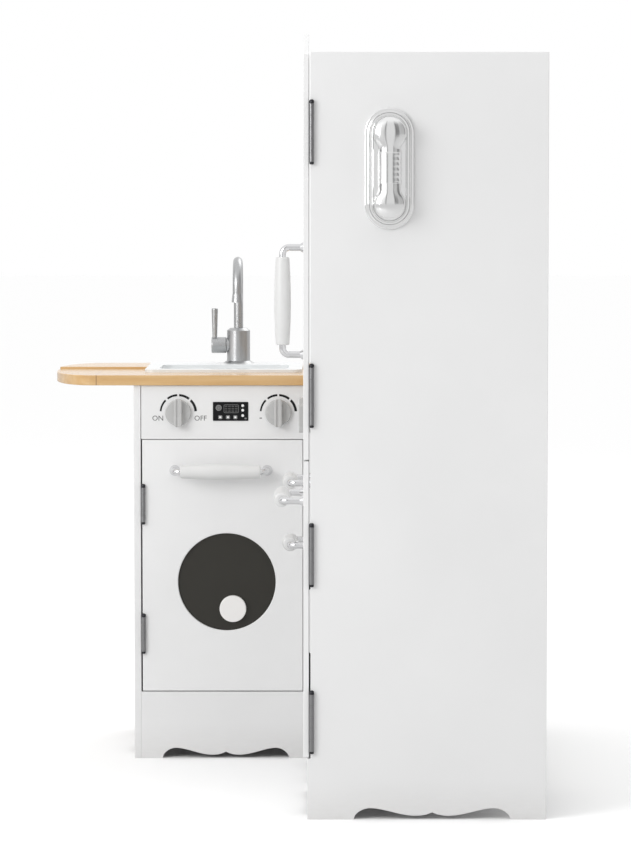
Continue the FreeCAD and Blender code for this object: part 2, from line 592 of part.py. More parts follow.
def hinge_set(door):
    """The door's hinges: fixed leaves, moving leaves and pins."""
    made = []
    if door == "upper":
        made = [hinge(FRIDGE_PIVOT, z, FRIDGE_HINGE, False, True) for z in UPPER_HINGES_Z]
    elif door == "lower":
        made = [hinge(FRIDGE_PIVOT, z, FRIDGE_HINGE, False, True) for z in LOWER_HINGES_Z]
    elif door == "oven":
        made = [hinge(OVEN_PIVOT, z, CABINET_HINGE, True, False) for z in OVEN_HINGES_Z]
    else:
        made = [hinge(WASHER_PIVOT, z, CABINET_HINGE, False, False) for z in WASHER_HINGES_Z]
    return [list(group) for group in zip(*made)]


# ---- fridge doors ----
STRIKE = 1.2               # steel plate let into the back of a door, held by a magnet
FRIDGE_DOOR_X = (FRIDGE_DOOR_FACE, FRIDGE_DOOR_FACE + FRIDGE_DOOR)
FRIDGE_DOOR_Y = (0.0, FRIDGE_WIDTH - 0.5)
UPPER_HANDLE = ((FRIDGE_DOOR_FACE, 205.0, 645.3), Z_AXIS, X_AXIS * -1, 148.5)
LOWER_HANDLE = ((FRIDGE_DOOR_FACE, 120.0, 397.0), Y_AXIS, X_AXIS * -1, 137.0)
OVEN_HANDLE = ((0.0, OVEN_MIDDLE, 316.5), Y_AXIS, X_AXIS * -1, 94.0)
DRAWER_HANDLE = ((0.0, OVEN_MIDDLE, HANDLE_Z), Y_AXIS, X_AXIS * -1, 94.0)
WASHER_HANDLE = ((-124.8, WING_Y0, 402.3), X_AXIS, Y_AXIS * -1, 137.0)
LONG_GRIP, MIDDLE_GRIP, SHORT_GRIP = 114.4, 110.4, 64.0


def upper_door_board():
    """The door's top edge rises in a crest above the fridge."""
    y0, y1 = FRIDGE_DOOR_Y
    z0, z1 = UPPER_DOOR_Z
    middle, shoulder = (y0 + y1) / 2, 16.0
    x = FRIDGE_DOOR_X[0]
    rise = Part.BezierCurve()
    rise.setPoles([V(x, y0 + shoulder, z1), V(x, y0 + shoulder + 42, z1),
                   V(x, middle - 62, CREST_TOP), V(x, middle, CREST_TOP)])
    left = rise.toShape()
    right = left.mirror(V(0, middle, 0), Y_AXIS)
    corners = [V(x, y0 + shoulder, z1), V(x, y0, z1), V(x, y0, z0), V(x, y1, z0), V(x, y1, z1),
               V(x, y1 - shoulder, z1)]
    lines = [Part.makeLine(a, b) for a, b in zip(corners, corners[1:])]
    wire = Part.Wire(Part.__sortEdges__(lines + [left, right]))
    door = Part.Face(wire).extrude(V(FRIDGE_DOOR, 0, 0))
    outline = [e for e in door.Edges if e.BoundBox.XLength < 1e-6]
    return door.makeFillet(EDGE_ROUND, outline)


def let_in(door, x, y, z):
    """Lets a steel strike plate into a door, flush with its back. Returns (door, plate)."""
    slack = 0.05
    recess = board((x[0] - slack, x[1] + slack), (y[0] - slack, y[1] + slack), (z[0] - slack, z[1] + slack))
    return door.cut(recess), board(x, y, z)


def make_fridge_doors():
    fixed, pins = [], []
    lower_board = painted(FRIDGE_DOOR_X, FRIDGE_DOOR_Y, LOWER_DOOR_Z)
    back_x = FRIDGE_DOOR_X[1]
    doors = (("upper", upper_door_board(), UPPER_HANDLE, LONG_GRIP, 700.0 - 30),
             ("lower", lower_board, LOWER_HANDLE, MIDDLE_GRIP, 270.0))
    for name, door, handle, grip, magnet_z in doors:
        door, plate = let_in(door, (back_x - STRIKE, back_x), (208, 226), (magnet_z - 14, magnet_z + 14))
        save(f"{name}_door_board", door)
        make_handle(f"{name}_door_handle", *handle, grip)
        leaf_fixed, leaf_moving, door_pins = hinge_set(name)
        fixed += leaf_fixed
        pins += door_pins
        save(f"{name}_door_fittings", compound(leaf_moving + [plate]))
    return fixed, pins


# ---- oven unit ----
OVEN_DOOR_Y = (OVEN_Y0 + DOOR_GAP, FILLER_Y0 - DOOR_GAP)
OVEN_DOOR_Z = (PLINTH_HEIGHT + FOOT_GAP, DIVIDER_TOP - BOARD - FOOT_GAP)
OVEN_WINDOW_Y, OVEN_WINDOW_Z = (OVEN_MIDDLE - 66, OVEN_MIDDLE + 66), (140.0, 262.0)
PANE_LAP = 8.0


def make_oven_door():
    door = painted((0, BOARD), OVEN_DOOR_Y, OVEN_DOOR_Z)
    window = rounded_hole(OVEN_WINDOW_Y, OVEN_WINDOW_Z, (-1, BOARD + 1), 16.0)
    door, plate = let_in(door.cut(window), (BOARD - STRIKE, BOARD), (398, 420), (324, 344))
    save("oven_door_board", door)
    pane_y = (OVEN_WINDOW_Y[0] - PANE_LAP, OVEN_WINDOW_Y[1] + PANE_LAP)
    pane_z = (OVEN_WINDOW_Z[0] - PANE_LAP, OVEN_WINDOW_Z[1] + PANE_LAP)
    pane = rounded_hole(pane_y, pane_z, (BOARD, BOARD + 2.5), 18.0)
    save("oven_window_pane", pane)
    make_handle("oven_door_handle", *OVEN_HANDLE, SHORT_GRIP)
    fixed, moving, pins = hinge_set("oven")
    screws = handle_screws(*OVEN_HANDLE, BOARD)
    save("oven_door_fittings", compound(moving + [plate] + screws))
    return fixed, pins


def rounded_hole(y, z, x, radius):
    """A rounded rectangle in the Y-Z plane, extruded along X."""
    block = Part.makeBox(y[1] - y[0], z[1] - z[0], x[1] - x[0], V(0, 0, 0))
    block = block.makeFillet(radius, upright_edges(block))
    block.Placement = FreeCAD.Placement(V(x[0], y[0], z[0]), FreeCAD.Rotation(Y_AXIS, Z_AXIS, X_AXIS, "ZXY"))
    return block


DRAWER_Y = (OVEN_Y0 + 12.0, FILLER_Y0 - 12.0)
DRAWER_BACK_X = 205.0
DRAWER_WALL = 6.0
DRAWER_TOP = 430.0


def make_drawer():
    front = painted((0, BOARD), OVEN_DOOR_Y, (DIVIDER_TOP + FOOT_GAP, FRONT_TOP))
    save("drawer_front", front)
    z = (DIVIDER_TOP + 0.4, DRAWER_TOP)
    y0, y1 = DRAWER_Y
    sides = [board((BOARD, DRAWER_BACK_X), y, z) for y in ((y0, y0 + DRAWER_WALL), (y1 - DRAWER_WALL, y1))]
    inner_y = (y0 + DRAWER_WALL, y1 - DRAWER_WALL)
    back = board((DRAWER_BACK_X - DRAWER_WALL, DRAWER_BACK_X), inner_y, (z[0] + 4, z[1]))
    base = board((BOARD, DRAWER_BACK_X), inner_y, (z[0], z[0] + 4))
    save("drawer_box", compound(sides + [back, base]))
    make_handle("drawer_handle", *DRAWER_HANDLE, SHORT_GRIP)
    guide_z = (DIVIDER_TOP, DIVIDER_TOP + 16)
    guides = [board((BOARD + 3, 280), y, guide_z) for y in ((OVEN_Y0, y0 - 0.6), (y1 + 0.6, FILLER_Y0))]
    save("drawer_guides", compound(guides))


# ---- washing machine door ----
WASHER_DOOR_X = (WING_X0 + BOARD + DOOR_GAP, -BOARD - DOOR_GAP)
WASHER_DOOR_Z = (PLINTH_HEIGHT + FOOT_GAP, FRONT_TOP)
REBATE_R = 73.0
DISC_R = 72.4
DISC_Y = (WING_Y0 + 3.8, WING_Y0 + 6.8)
FINGER_KNOB = (DRUM_X + 8.3, DRUM_Z - 37.4)
FINGER_KNOB_R = 18.5
RING_R, RING_HOLE_R = 84.0, 64.0


def make_washer_door():
    y0 = WING_Y0
    door = painted(WASHER_DOOR_X, (y0, y0 + BOARD), WASHER_DOOR_Z)
    door = door.cut(cylinder(WINDOW_R, (DRUM_X, y0 - 1, DRUM_Z), Y_AXIS, BOARD + 2))
    door = door.cut(cylinder(REBATE_R, (DRUM_X, y0 + 3.5, DRUM_Z), Y_AXIS, BOARD))
    rim = [e for e in door.Edges if abs(e.Length - 2 * math.pi * WINDOW_R) < 1 and e.BoundBox.YMax < y0 + 1]
    door = door.makeFillet(1.2, rim)
    door, plate = let_in(door, (-40, -22), (y0 + BOARD - STRIKE, y0 + BOARD), (316, 344))
    save("washer_door_board", door)
    ring = cylinder(RING_R, (DRUM_X, y0 + BOARD, DRUM_Z), Y_AXIS, 3.5)
    collar = cylinder(REBATE_R - 0.6, (DRUM_X, y0 + 7.2, DRUM_Z), Y_AXIS, BOARD - 7.2)
    ring = ring.fuse(collar).cut(cylinder(RING_HOLE_R, (DRUM_X, y0, DRUM_Z), Y_AXIS, 30))
    save("washer_retaining_ring", ring.removeSplitter())
    save("washer_drum_disc", cylinder(DISC_R, (DRUM_X, DISC_Y[0], DRUM_Z), Y_AXIS, DISC_Y[1] - DISC_Y[0]))
    knob = cylinder(FINGER_KNOB_R, (FINGER_KNOB[0], y0 - 2.6, FINGER_KNOB[1]), Y_AXIS, DISC_Y[0] - y0 + 2.6)
    front = [e for e in knob.Edges if e.BoundBox.YMax < y0 - 2.5 + 1e-3 and e.Length > 50]
    save("washer_finger_knob", knob.makeFillet(1.2, front))
    make_handle("washer_door_handle", *WASHER_HANDLE, MIDDLE_GRIP)
    fixed, moving, pins = hinge_set("washer")
    screws = handle_screws(*WASHER_HANDLE, BOARD)
    save("washer_door_fittings", compound(moving + [plate] + screws))
    return fixed, pins


# ---- knobs ----
STEM_R, STEM_FIT = 4.0, 0.1
FACE_GAP = 0.4
KNOB_BASE, KNOB_HEIGHT = 5.5, 16.0
FIN = (11.0, 38.0)         # pointer fin, across and along
GROOVE_R, GROOVE_UP = 2.6, 0.9


def knob_shape():
    """A round knob with a grooved pointer fin, standing on Z = 0 over its snap-in stem; the fin runs along Y."""
    disc = cylinder(KNOB_R, (0, 0, FACE_GAP), Z_AXIS, KNOB_BASE)
    disc = disc.makeFillet(1.6, [e for e in disc.Edges if abs(e.BoundBox.ZMin - FACE_GAP - KNOB_BASE) < 1e-6])
    fin = board((-FIN[0] / 2, FIN[0] / 2), (-FIN[1] / 2, FIN[1] / 2), (FACE_GAP, KNOB_HEIGHT))
    taper = 1.3
    fin = fin.makeFillet(3.5, [e for e in upright_edges(fin)])
    top = [e for e in fin.Edges if abs(e.BoundBox.ZMin - KNOB_HEIGHT) < 1e-6]
    fin = fin.makeFillet(taper, top)
    fin = fin.cut(cylinder(GROOVE_R, (0, -FIN[1], KNOB_HEIGHT + GROOVE_UP), Y_AXIS, 2 * FIN[1]))
    stem = cylinder(STEM_R, (0, 0, -BOARD - 0.5), Z_AXIS, BOARD + 1.0 + FACE_GAP)
    barb = Part.makeCone(3.2, 6.2, 4.0, V(0, 0, -BOARD - 4.5), Z_AXIS)
    return disc.fuse([fin, stem, barb]).removeSplitter()


def make_knobs():
    for node, x in zip(("washer_knob_left", "washer_knob_right"), WING_KNOBS_X):
        knob = knob_shape()
        knob.rotate(V(0, 0, 0), X_AXIS, 90)
        knob.translate(V(x, WING_Y0, KNOB_Z))
        save(node, knob)
    for node, y in zip(("oven_knob_near", "oven_knob_far"), OVEN_KNOBS_Y):
        knob = knob_shape()
        knob.rotate(V(0, 0, 0), Z_AXIS, 90)
        knob.rotate(V(0, 0, 0), Y_AXIS, -90)
        knob.translate(V(0, y, OVEN_KNOB_Z))
        save(node, knob)


# ---- telephone ----
BULB_R = 19.6
BULB_SPACING = 90.5
NECK_R = 9.6
FLATTEN = 0.66
HANDSET_BACK_Y = -4.2
SHELL = 2.0
BAND_HALF = 19.5


def stadium(width, height, y, inset=0.0):
    """A plate with round ends in the X-Z plane, on the telephone's centre, between two y."""
    radius = width / 2 - inset
    half = height / 2 - width / 2
    arc_x, cx, cz = radius, PHONE_X, PHONE_Z
    y0 = y[0]
    corners = {k: V(cx + sx * arc_x, y0, cz + sz * half)
               for k, sx, sz in (("tr", 1, 1), ("tl", -1, 1), ("bl", -1, -1), ("br", 1, -1))}
    top = Part.Arc(corners["tr"], V(cx, y0, cz + half + radius), corners["tl"]).toShape()
    bottom = Part.Arc(corners["bl"], V(cx, y0, cz - half - radius), corners["br"]).toShape()
    wire = Part.Wire([top, Part.makeLine(corners["tl"], corners["bl"]), bottom,
                      Part.makeLine(corners["br"], corners["tr"])])
    return Part.Face(wire).extrude(V(0, y[1] - y[0], 0))


def make_cradle():
    plate = stadium(PHONE_W, PHONE_H, (-3.5, 0))
    front = [e for e in plate.Edges if abs(e.BoundBox.YMax + 3.5) < 1e-6]
    plate = plate.makeFillet(1.5, front)
    ridges = []
    for outside, inside, height in ((3.6, 6.4, 6.0), (8.8, 11.0, 5.2)):
        outer = stadium(PHONE_W, PHONE_H, (-height, -1), outside)
        inner = stadium(PHONE_W, PHONE_H, (-height - 1, 0), inside)
        ridge = outer.cut(inner)
        crown = [e for e in ridge.Edges if abs(e.BoundBox.YMax + height) < 1e-6]
        ridges.append(ridge.makeFillet((inside - outside) * 0.42, crown))
    rails = []
    for sign in (-1, 1):
        x = sorted((PHONE_X + sign * 15.0, PHONE_X + sign * 17.2))
        rails.append(board(x, (-9.0, -1), (PHONE_Z - 24, PHONE_Z + 24)))
    cradle = plate.fuse(ridges + rails).removeSplitter()
    screws = []
    for z in PHONE_SCREWS_Z:
        cradle = cradle.cut(cylinder(1.6, (PHONE_X, -10, z), Y_AXIS, 20))
        screws.append(cylinder(1.5, (PHONE_X, -3.5, z), Y_AXIS, 11).fuse(
            Part.makeCone(3.0, 2.6, 1.2, V(PHONE_X, -3.5, z), Y_AXIS * -1)))
    save("phone_cradle", cradle)
    return screws


def dumbbell(grow):
    """The handset's outline turned about its long axis, on Z, before it is flattened. grow offsets it."""
    half, r, neck = BULB_SPACING / 2, BULB_R + grow, NECK_R + grow
    fillet = 26.0 - grow
    # the neck blends into each bulb with a tangent arc
    dz = math.sqrt((r + fillet) ** 2 - (neck + fillet) ** 2)
    z_arc = half - dz
    touch = V(r * (neck + fillet) / (r + fillet), 0, half - r * dz / (r + fillet))
    bottom_of_arc = V(neck, 0, z_arc)
    angle = math.atan2(dz, neck + fillet) / 2
    arc_mid = V(neck + fillet - fillet * math.cos(angle), 0, z_arc + fillet * math.sin(angle))
    bulge_angle = (math.atan2(-dz, neck + fillet) + math.pi / 2) / 2
    bulge = V(r * math.cos(bulge_angle), 0, half + r * math.sin(bulge_angle))
    upper = [Part.makeLine(V(neck, 0, 0), bottom_of_arc), Part.Arc(bottom_of_arc, arc_mid, touch).toShape(),
             Part.Arc(touch, bulge, V(0, 0, half + r)).toShape()]
    lower = [e.mirror(V(0, 0, 0), Z_AXIS) for e in upper]
    axis = Part.makeLine(V(0, 0, half + r), V(0, 0, -half - r))
    wire = Part.Wire(Part.__sortEdges__(upper + lower + [axis]))
    return Part.Face(wire).revolve(V(0, 0, 0), Z_AXIS, 360)


def place_handset(shape):
    matrix = FreeCAD.Matrix()
    matrix.scale(1.0, FLATTEN, 1.0)
    flat = shape.transformGeometry(matrix)
    flat.translate(V(PHONE_X, HANDSET_MID_Y, PHONE_Z))
    return flat


HANDSET_MID_Y = HANDSET_BACK_Y - BULB_R * FLATTEN


def make_handset():
    outer, inner = dumbbell(0.0), dumbbell(-SHELL)
    shell = outer.cut(inner)
    band_slab = board((-40, 40), (-40, 40), (-BAND_HALF, BAND_HALF))
    band = dumbbell(0.6).cut(outer).common(band_slab)
    front_half = board((-60, 60), (-60, 0), (-100, 100))
    back_half = board((-60, 60), (0, 60), (-100, 100))
    save("handset_front_shell", place_handset(shell.common(front_half)))
    save("handset_back_shell", place_handset(shell.common(back_half)))
    save("handset_grip_band", place_handset(band))


# ---- catches and the rest of the hardware ----
def make_magnets():
    """Magnetic catches inside the carcass, one behind each door's strike plate."""
    w, t, h = MAGNET
    upper = board((0.4, w), (FRIDGE_WIDTH - BOARD - 22, FRIDGE_WIDTH - BOARD), (657, 657 + h))
    lower = board((0.4, w), (FRIDGE_WIDTH - BOARD - 22, FRIDGE_WIDTH - BOARD), (257, 257 + h))
    under_divider = DIVIDER_TOP - BOARD
    oven = board((BOARD + 1.6, BOARD + 1.6 + w), (398, 420), (under_divider - h, under_divider))
    washer = board((-BOARD - 26, -BOARD), (WING_Y0 + BOARD + 1.6, WING_Y0 + BOARD + 1.6 + t), (317, 317 + h))
    save("door_magnets", compound([upper, lower, oven, washer]))


def main():
    os.makedirs("parts", exist_ok=True)
    make_fridge_carcass()
    make_plinths()
    make_back_boards()
    make_cabinets()
    make_control_panels()
    make_worktop()
    make_sink()
    make_faucet()
    make_drawer()
    make_knobs()
    make_magnets()
    fixed, pins = [], []
    for maker in (make_fridge_doors, make_oven_door, make_washer_door):
        leaves, door_pins = maker()
        fixed += leaves
        pins += door_pins
    save("hinge_fixed_leaves", compound(fixed))
    save("hinge_pins", compound(pins))
    screws = [screw(x, y, z, axis) for (x, y, z), axis in BACK_SCREWS]
    save("assembly_screws", compound(screws + make_cradle()))
    make_handset()


main()
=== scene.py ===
import math

import bmesh
import bpy
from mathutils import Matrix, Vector


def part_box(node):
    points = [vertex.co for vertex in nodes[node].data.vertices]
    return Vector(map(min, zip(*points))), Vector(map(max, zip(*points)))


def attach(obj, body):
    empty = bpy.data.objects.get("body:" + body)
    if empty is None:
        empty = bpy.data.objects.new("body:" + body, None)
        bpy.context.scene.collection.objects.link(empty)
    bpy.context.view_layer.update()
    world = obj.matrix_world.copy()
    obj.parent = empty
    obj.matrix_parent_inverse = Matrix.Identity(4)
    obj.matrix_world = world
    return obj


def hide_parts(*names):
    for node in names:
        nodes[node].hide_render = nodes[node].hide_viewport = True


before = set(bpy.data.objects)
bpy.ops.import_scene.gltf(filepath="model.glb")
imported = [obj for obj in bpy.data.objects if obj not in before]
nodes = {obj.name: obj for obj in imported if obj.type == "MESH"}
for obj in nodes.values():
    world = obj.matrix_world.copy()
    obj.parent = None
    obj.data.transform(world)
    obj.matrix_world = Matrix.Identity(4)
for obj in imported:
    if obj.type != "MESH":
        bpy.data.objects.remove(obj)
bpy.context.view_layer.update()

X, Y, Z = Vector((1, 0, 0)), Vector((0, 1, 0)), Vector((0, 0, 1))
MM = 0.001


# ----------------------------------------------------------------------------------------------------
# The view. The kitchen stands on a plain white floor in a bright white studio, seen square-on from the
# fridge's outer side, from a little above the worktop. A large soft light stands to the left, in front.
# ----------------------------------------------------------------------------------------------------
EYE_AWAY, EYE_ACROSS, EYE_HEIGHT = 4.328, 0.0063, 0.7800
EYE_LENS, EYE_DOWN = 146.78, math.radians(3.769)
FLOOR_SIZE = 60.0
# light round the horizon, as fractions of a turn from the far side by the left: backdrop, left soft box,
# pale room behind the camera, right soft box, backdrop, with a dark gap between each and the next
ROOM_BANDS = ((0.0, 1.0), (0.20, 0.95), (0.235, 0.12), (0.27, 1.25), (0.42, 1.25), (0.45, 0.20),
              (0.475, 0.80), (0.545, 0.80), (0.575, 0.16), (0.61, 0.55), (0.70, 0.50), (0.735, 0.12),
              (0.78, 0.95), (1.0, 1.0))
BANDS_END, CEILING_START = 0.5, 0.8         # heights, as parts of the way up, where the bands turn to white
HORIZON_LIGHT, OVERHEAD_LIGHT = 0.51, 1.29
FLOOR_WHITE, FLOOR_BOUNCE = 0.96, 0.66      # the floor as it is seen, and as it lights the boards


def shader(name, colour, roughness, metallic=0.0):
    """A new material with its Principled BSDF set. Returns (material, its nodes, its links, the shader)."""
    material = bpy.data.materials.new(name)
    material.use_nodes = True
    tree = material.node_tree
    principled = tree.nodes["Principled BSDF"]
    principled.inputs["Base Color"].default_value = (*colour, 1.0)
    principled.inputs["Roughness"].default_value = roughness
    principled.inputs["Metallic"].default_value = metallic
    return material, tree.nodes, tree.links, principled


def calculate(tree, operation, first, second=None, clamp=False):
    """A Math node; each operand is a socket or a number."""
    node = tree.nodes.new("ShaderNodeMath")
    node.operation, node.use_clamp = operation, clamp
    for place, operand in enumerate((first, second)):
        if isinstance(operand, (int, float)):
            node.inputs[place].default_value = operand
        elif operand is not None:
            tree.links.new(operand, node.inputs[place])
    return node.outputs["Value"]


def grade(tree, value, stops):
    """A colour ramp: stops are (position, (r, g, b))."""
    node = tree.nodes.new("ShaderNodeValToRGB")
    ramp = node.color_ramp
    while len(ramp.elements) < len(stops):
        ramp.elements.new(0.5)
    for element, (position, colour) in zip(ramp.elements, stops):
        element.position, element.color = position, (*colour, 1.0)
    tree.links.new(value, node.inputs["Fac"])
    return node.outputs["Color"]


def mix_colour(tree, amount, first, second):
    """Mixes a colour socket with a fixed colour."""
    mix = tree.nodes.new("ShaderNodeMix")
    mix.data_type = "RGBA"
    tree.links.new(amount, mix.inputs["Factor"])
    tree.links.new(first, mix.inputs["A"])
    mix.inputs["B"].default_value = (*second, 1.0)
    return mix.outputs["Result"]


def make_camera():
    side_low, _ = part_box("fridge_outer_side")
    fridge_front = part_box("upper_door_board")[1].x + 2 * MM
    camera = bpy.data.objects.new("camera", bpy.data.cameras.new("camera"))
    bpy.context.scene.collection.objects.link(camera)
    camera.location = (fridge_front + EYE_ACROSS, side_low.y - EYE_AWAY, EYE_HEIGHT)
    camera.rotation_euler = (math.pi / 2 - EYE_DOWN, 0, 0)
    camera.data.lens, camera.data.sensor_width = EYE_LENS, 36.0
    camera.data.clip_start, camera.data.clip_end = 0.05, 200.0
    bpy.context.scene.camera = camera
    bpy.context.scene.view_settings.view_transform = "Standard"


def make_floor():
    half = FLOOR_SIZE / 2
    corners = [(-half, -half, 0), (half, -half, 0), (half, half, 0), (-half, half, 0)]
    mesh = bpy.data.meshes.new("floor")
    mesh.from_pydata(corners, [], [(0, 1, 2, 3)])
    floor = bpy.data.objects.new("floor", mesh)
    bpy.context.scene.collection.objects.link(floor)
    white, made, links, principled = shader("floor white", (FLOOR_WHITE,) * 3, 0.9)
    seen = made.new("ShaderNodeLightPath").outputs["Is Camera Ray"]
    shade = calculate(white.node_tree, "MULTIPLY_ADD", seen, FLOOR_WHITE - FLOOR_BOUNCE)
    shade.node.inputs[2].default_value = FLOOR_BOUNCE
    links.new(shade, principled.inputs["Base Color"])
    principled.inputs["Specular IOR Level"].default_value = 0.0
    mesh.materials.append(white)


def make_room():
    """White to the eye and even on the boards; bands of light and dark in anything that shines."""
    world = bpy.data.worlds.new("studio")
    bpy.context.scene.world = world
    world.use_nodes = True
    tree = world.node_tree
    direction = tree.nodes.new("ShaderNodeSeparateXYZ")
    tree.links.new(tree.nodes.new("ShaderNodeTexCoord").outputs["Generated"], direction.inputs["Vector"])
    toward_us = calculate(tree, "MULTIPLY", direction.outputs["Y"], -1.0)
    turn = calculate(tree, "ARCTAN2", direction.outputs["X"], toward_us)
    turn = calculate(tree, "ADD", calculate(tree, "DIVIDE", turn, 2 * math.pi), 0.5)
    bands = grade(tree, turn, [(place, (level,) * 3) for place, level in ROOM_BANDS])
    height = tree.nodes.new("ShaderNodeMapRange")
    tree.links.new(direction.outputs["Z"], height.inputs["Value"])
    height.inputs["From Min"].default_value = BANDS_END
    height.inputs["From Max"].default_value = CEILING_START
    shiny_light = mix_colour(tree, height.outputs["Result"], bands, (1.0, 1.0, 1.0))
    soft_light = grade(tree, direction.outputs["Z"],
                       [(0.0, (HORIZON_LIGHT,) * 3), (1.0, (OVERHEAD_LIGHT,) * 3)])
    backgrounds = []
    for colour in (soft_light, shiny_light, None):
        background = tree.nodes.new("ShaderNodeBackground")
        if colour is None:
            background.inputs["Color"].default_value = (1.0, 1.0, 1.0, 1.0)
        else:
            tree.links.new(colour, background.inputs["Color"])
        backgrounds.append(background.outputs["Background"])
    path = tree.nodes.new("ShaderNodeLightPath")
    shown = backgrounds[0]
    for kind, background in zip(("Is Glossy Ray", "Is Camera Ray"), backgrounds[1:]):
        mix = tree.nodes.new("ShaderNodeMixShader")
        tree.links.new(path.outputs[kind], mix.inputs["Fac"])
        tree.links.new(shown, mix.inputs[1])
        tree.links.new(background, mix.inputs[2])
        shown = mix.outputs["Shader"]
    tree.links.new(shown, tree.nodes["World Output"].inputs["Surface"])


def make_lamps():
    for name, place, size, power in (("key softbox", (-1.9, -2.0, 1.4), 1.5, 31.0),
                                     ("floor fill", (1.6, 2.6, 3.2), 2.4, 22.0)):
        light = bpy.data.lights.new(name, "AREA")
        light.shape, light.size, light.energy = "DISK", size, power
        lamp = bpy.data.objects.new(name, light)
        bpy.context.scene.collection.objects.link(lamp)
        lamp.location = place
        lamp.rotation_euler = (Vector((0, 0, 0.5)) - Vector(place)).to_track_quat("-Z", "Y").to_euler()


make_camera()
make_floor()
make_room()
make_lamps()


# ----------------------------------------------------------------------------------------------------
# Painted boards. The carcass, doors and skirts are medium-density board, sanded, primed and rolled with a
# white satin paint, which dries with a fine dimpled skin and a very slight unevenness.
# ----------------------------------------------------------------------------------------------------
CARCASS_WHITE = (0.785, 0.785, 0.785)
DOOR_WHITE = (0.81, 0.81, 0.81)
SATIN = 0.42
DIMPLE, DIMPLE_DEPTH = 1.1 * MM, 0.02 * MM


def group(name, inputs, outputs):
    """A shader node group. Returns (tree, input node, output node)."""
    tree = bpy.data.node_groups.new(name, "ShaderNodeTree")
    for label, kind, value in inputs:
        socket = tree.interface.new_socket(label, in_out="INPUT", socket_type=kind)
        socket.default_value = value
    for label, kind in outputs:
        tree.interface.new_socket(label, in_out="OUTPUT", socket_type=kind)
    return tree, tree.nodes.new("NodeGroupInput"), tree.nodes.new("NodeGroupOutput")


def noise(tree, place, scale, detail=2.0, roughness=0.5):
    """A Noise texture on the given coordinates; scale is a socket or a number."""
    node = tree.nodes.new("ShaderNodeTexNoise")
    tree.links.new(place, node.inputs["Vector"])
    if isinstance(scale, (int, float)):
        node.inputs["Scale"].default_value = scale
    else:
        tree.links.new(scale, node.inputs["Scale"])
    node.inputs["Detail"].default_value = detail
    node.inputs["Roughness"].default_value = roughness
    return node.outputs["Fac"]


def stretch(tree, place, scale, turn=0.0):
    """Coordinates turned about Z and stretched, by a Mapping node."""
    node = tree.nodes.new("ShaderNodeMapping")
    tree.links.new(place, node.inputs["Vector"])
    node.inputs["Scale"].default_value = scale
    node.inputs["Rotation"].default_value = (0, 0, turn)
    return node.outputs["Vector"]


def in_range(tree, value, low, high):
    """Brings a 0 to 1 value into low to high."""
    node = tree.nodes.new("ShaderNodeMapRange")
    tree.links.new(value, node.inputs["Value"])
    node.inputs["To Min"].default_value, node.inputs["To Max"].default_value = low, high
    return node.outputs["Result"]


def place_group(made, tree, **values):
    """Puts a group in a material and sets its named inputs."""
    node = made.new("ShaderNodeGroup")
    node.node_tree = tree
    for label, value in values.items():
        node.inputs[label.replace("_", " ")].default_value = value
    return node


def bump(made, links, height, distance, principled):
    node = made.new("ShaderNodeBump")
    node.inputs["Distance"].default_value = distance
    links.new(height, node.inputs["Height"])
    links.new(node.outputs["Normal"], principled.inputs["Normal"])


def object_place(tree):
    return tree.nodes.new("ShaderNodeTexCoord").outputs["Object"]


def make_skin_group():
    """A sprayed, rolled or moulded skin: fine dimples, and broad soft patches."""
    tree, given, out = group("skin",
                             [("Dimple", "NodeSocketFloat", 0.001), ("Patch", "NodeSocketFloat", 0.2)],
                             [("Height", "NodeSocketFloat"), ("Patches", "NodeSocketFloat")])
    place = object_place(tree)
    fine = noise(tree, place, calculate(tree, "DIVIDE", 1.0, given.outputs["Dimple"]), 1.0)
    broad = noise(tree, place, calculate(tree, "DIVIDE", 1.0, given.outputs["Patch"]), 3.0, 0.6)
    tree.links.new(fine, out.inputs["Height"])
    tree.links.new(broad, out.inputs["Patches"])
    return tree


def make_floor_shade_group():
    """Painted shade near the floor: a darkening broken into streaks, fading out upwards over the given
    height.
    """
    tree, given, out = group("painted floor shade",
                             [("Reach", "NodeSocketFloat", 0.05)],
                             [("Mask", "NodeSocketFloat")])
    place = object_place(tree)
    height = tree.nodes.new("ShaderNodeSeparateXYZ")
    tree.links.new(place, height.inputs["Vector"])
    part = calculate(tree, "DIVIDE", height.outputs["Z"], given.outputs["Reach"])
    near_floor = calculate(tree, "SUBTRACT", 1.0, part, clamp=True)
    shade_streaks = noise(tree, stretch(tree, place, (30, 30, 90)), 2.0, 6.0, 0.7)
    tree.links.new(calculate(tree, "MULTIPLY", near_floor, shade_streaks), out.inputs["Mask"])
    return tree


skin_group = make_skin_group()
floor_shade_group = make_floor_shade_group()


def painted(name, colour, roughness=SATIN, floor_shade=0.0):
    """White satin paint; painted shade darkens it a little near the floor."""
    material, made, links, principled = shader(name, colour, roughness)
    tree = material.node_tree
    skin = place_group(made, skin_group, Dimple=DIMPLE, Patch=0.22)
    dark, light = (tuple(min(1.0, part * level) for part in colour) for level in (0.975, 1.015))
    tint = grade(tree, skin.outputs["Patches"], [(0.3, dark), (0.7, light)])
    if floor_shade:
        shade_streaks = place_group(made, floor_shade_group, Reach=0.05)
        amount = calculate(tree, "MULTIPLY", shade_streaks.outputs["Mask"], floor_shade)
        # painted shade: a warm grey mixed in along the foot of the boards, where the floor's contact shade
        # falls
        tint = mix_colour(tree, amount, tint, (0.52, 0.50, 0.47))
    links.new(tint, principled.inputs["Base Color"])
    links.new(in_range(tree, skin.outputs["Patches"], roughness - 0.05, roughness + 0.06),
              principled.inputs["Roughness"])
    bump(made, links, skin.outputs["Height"], DIMPLE_DEPTH, principled)
    return material


def finish(material, *names):
    """Gives CAD nodes a material."""
    for name in names:
        mesh = nodes[name].data
        mesh.materials.clear()
        mesh.materials.append(material)
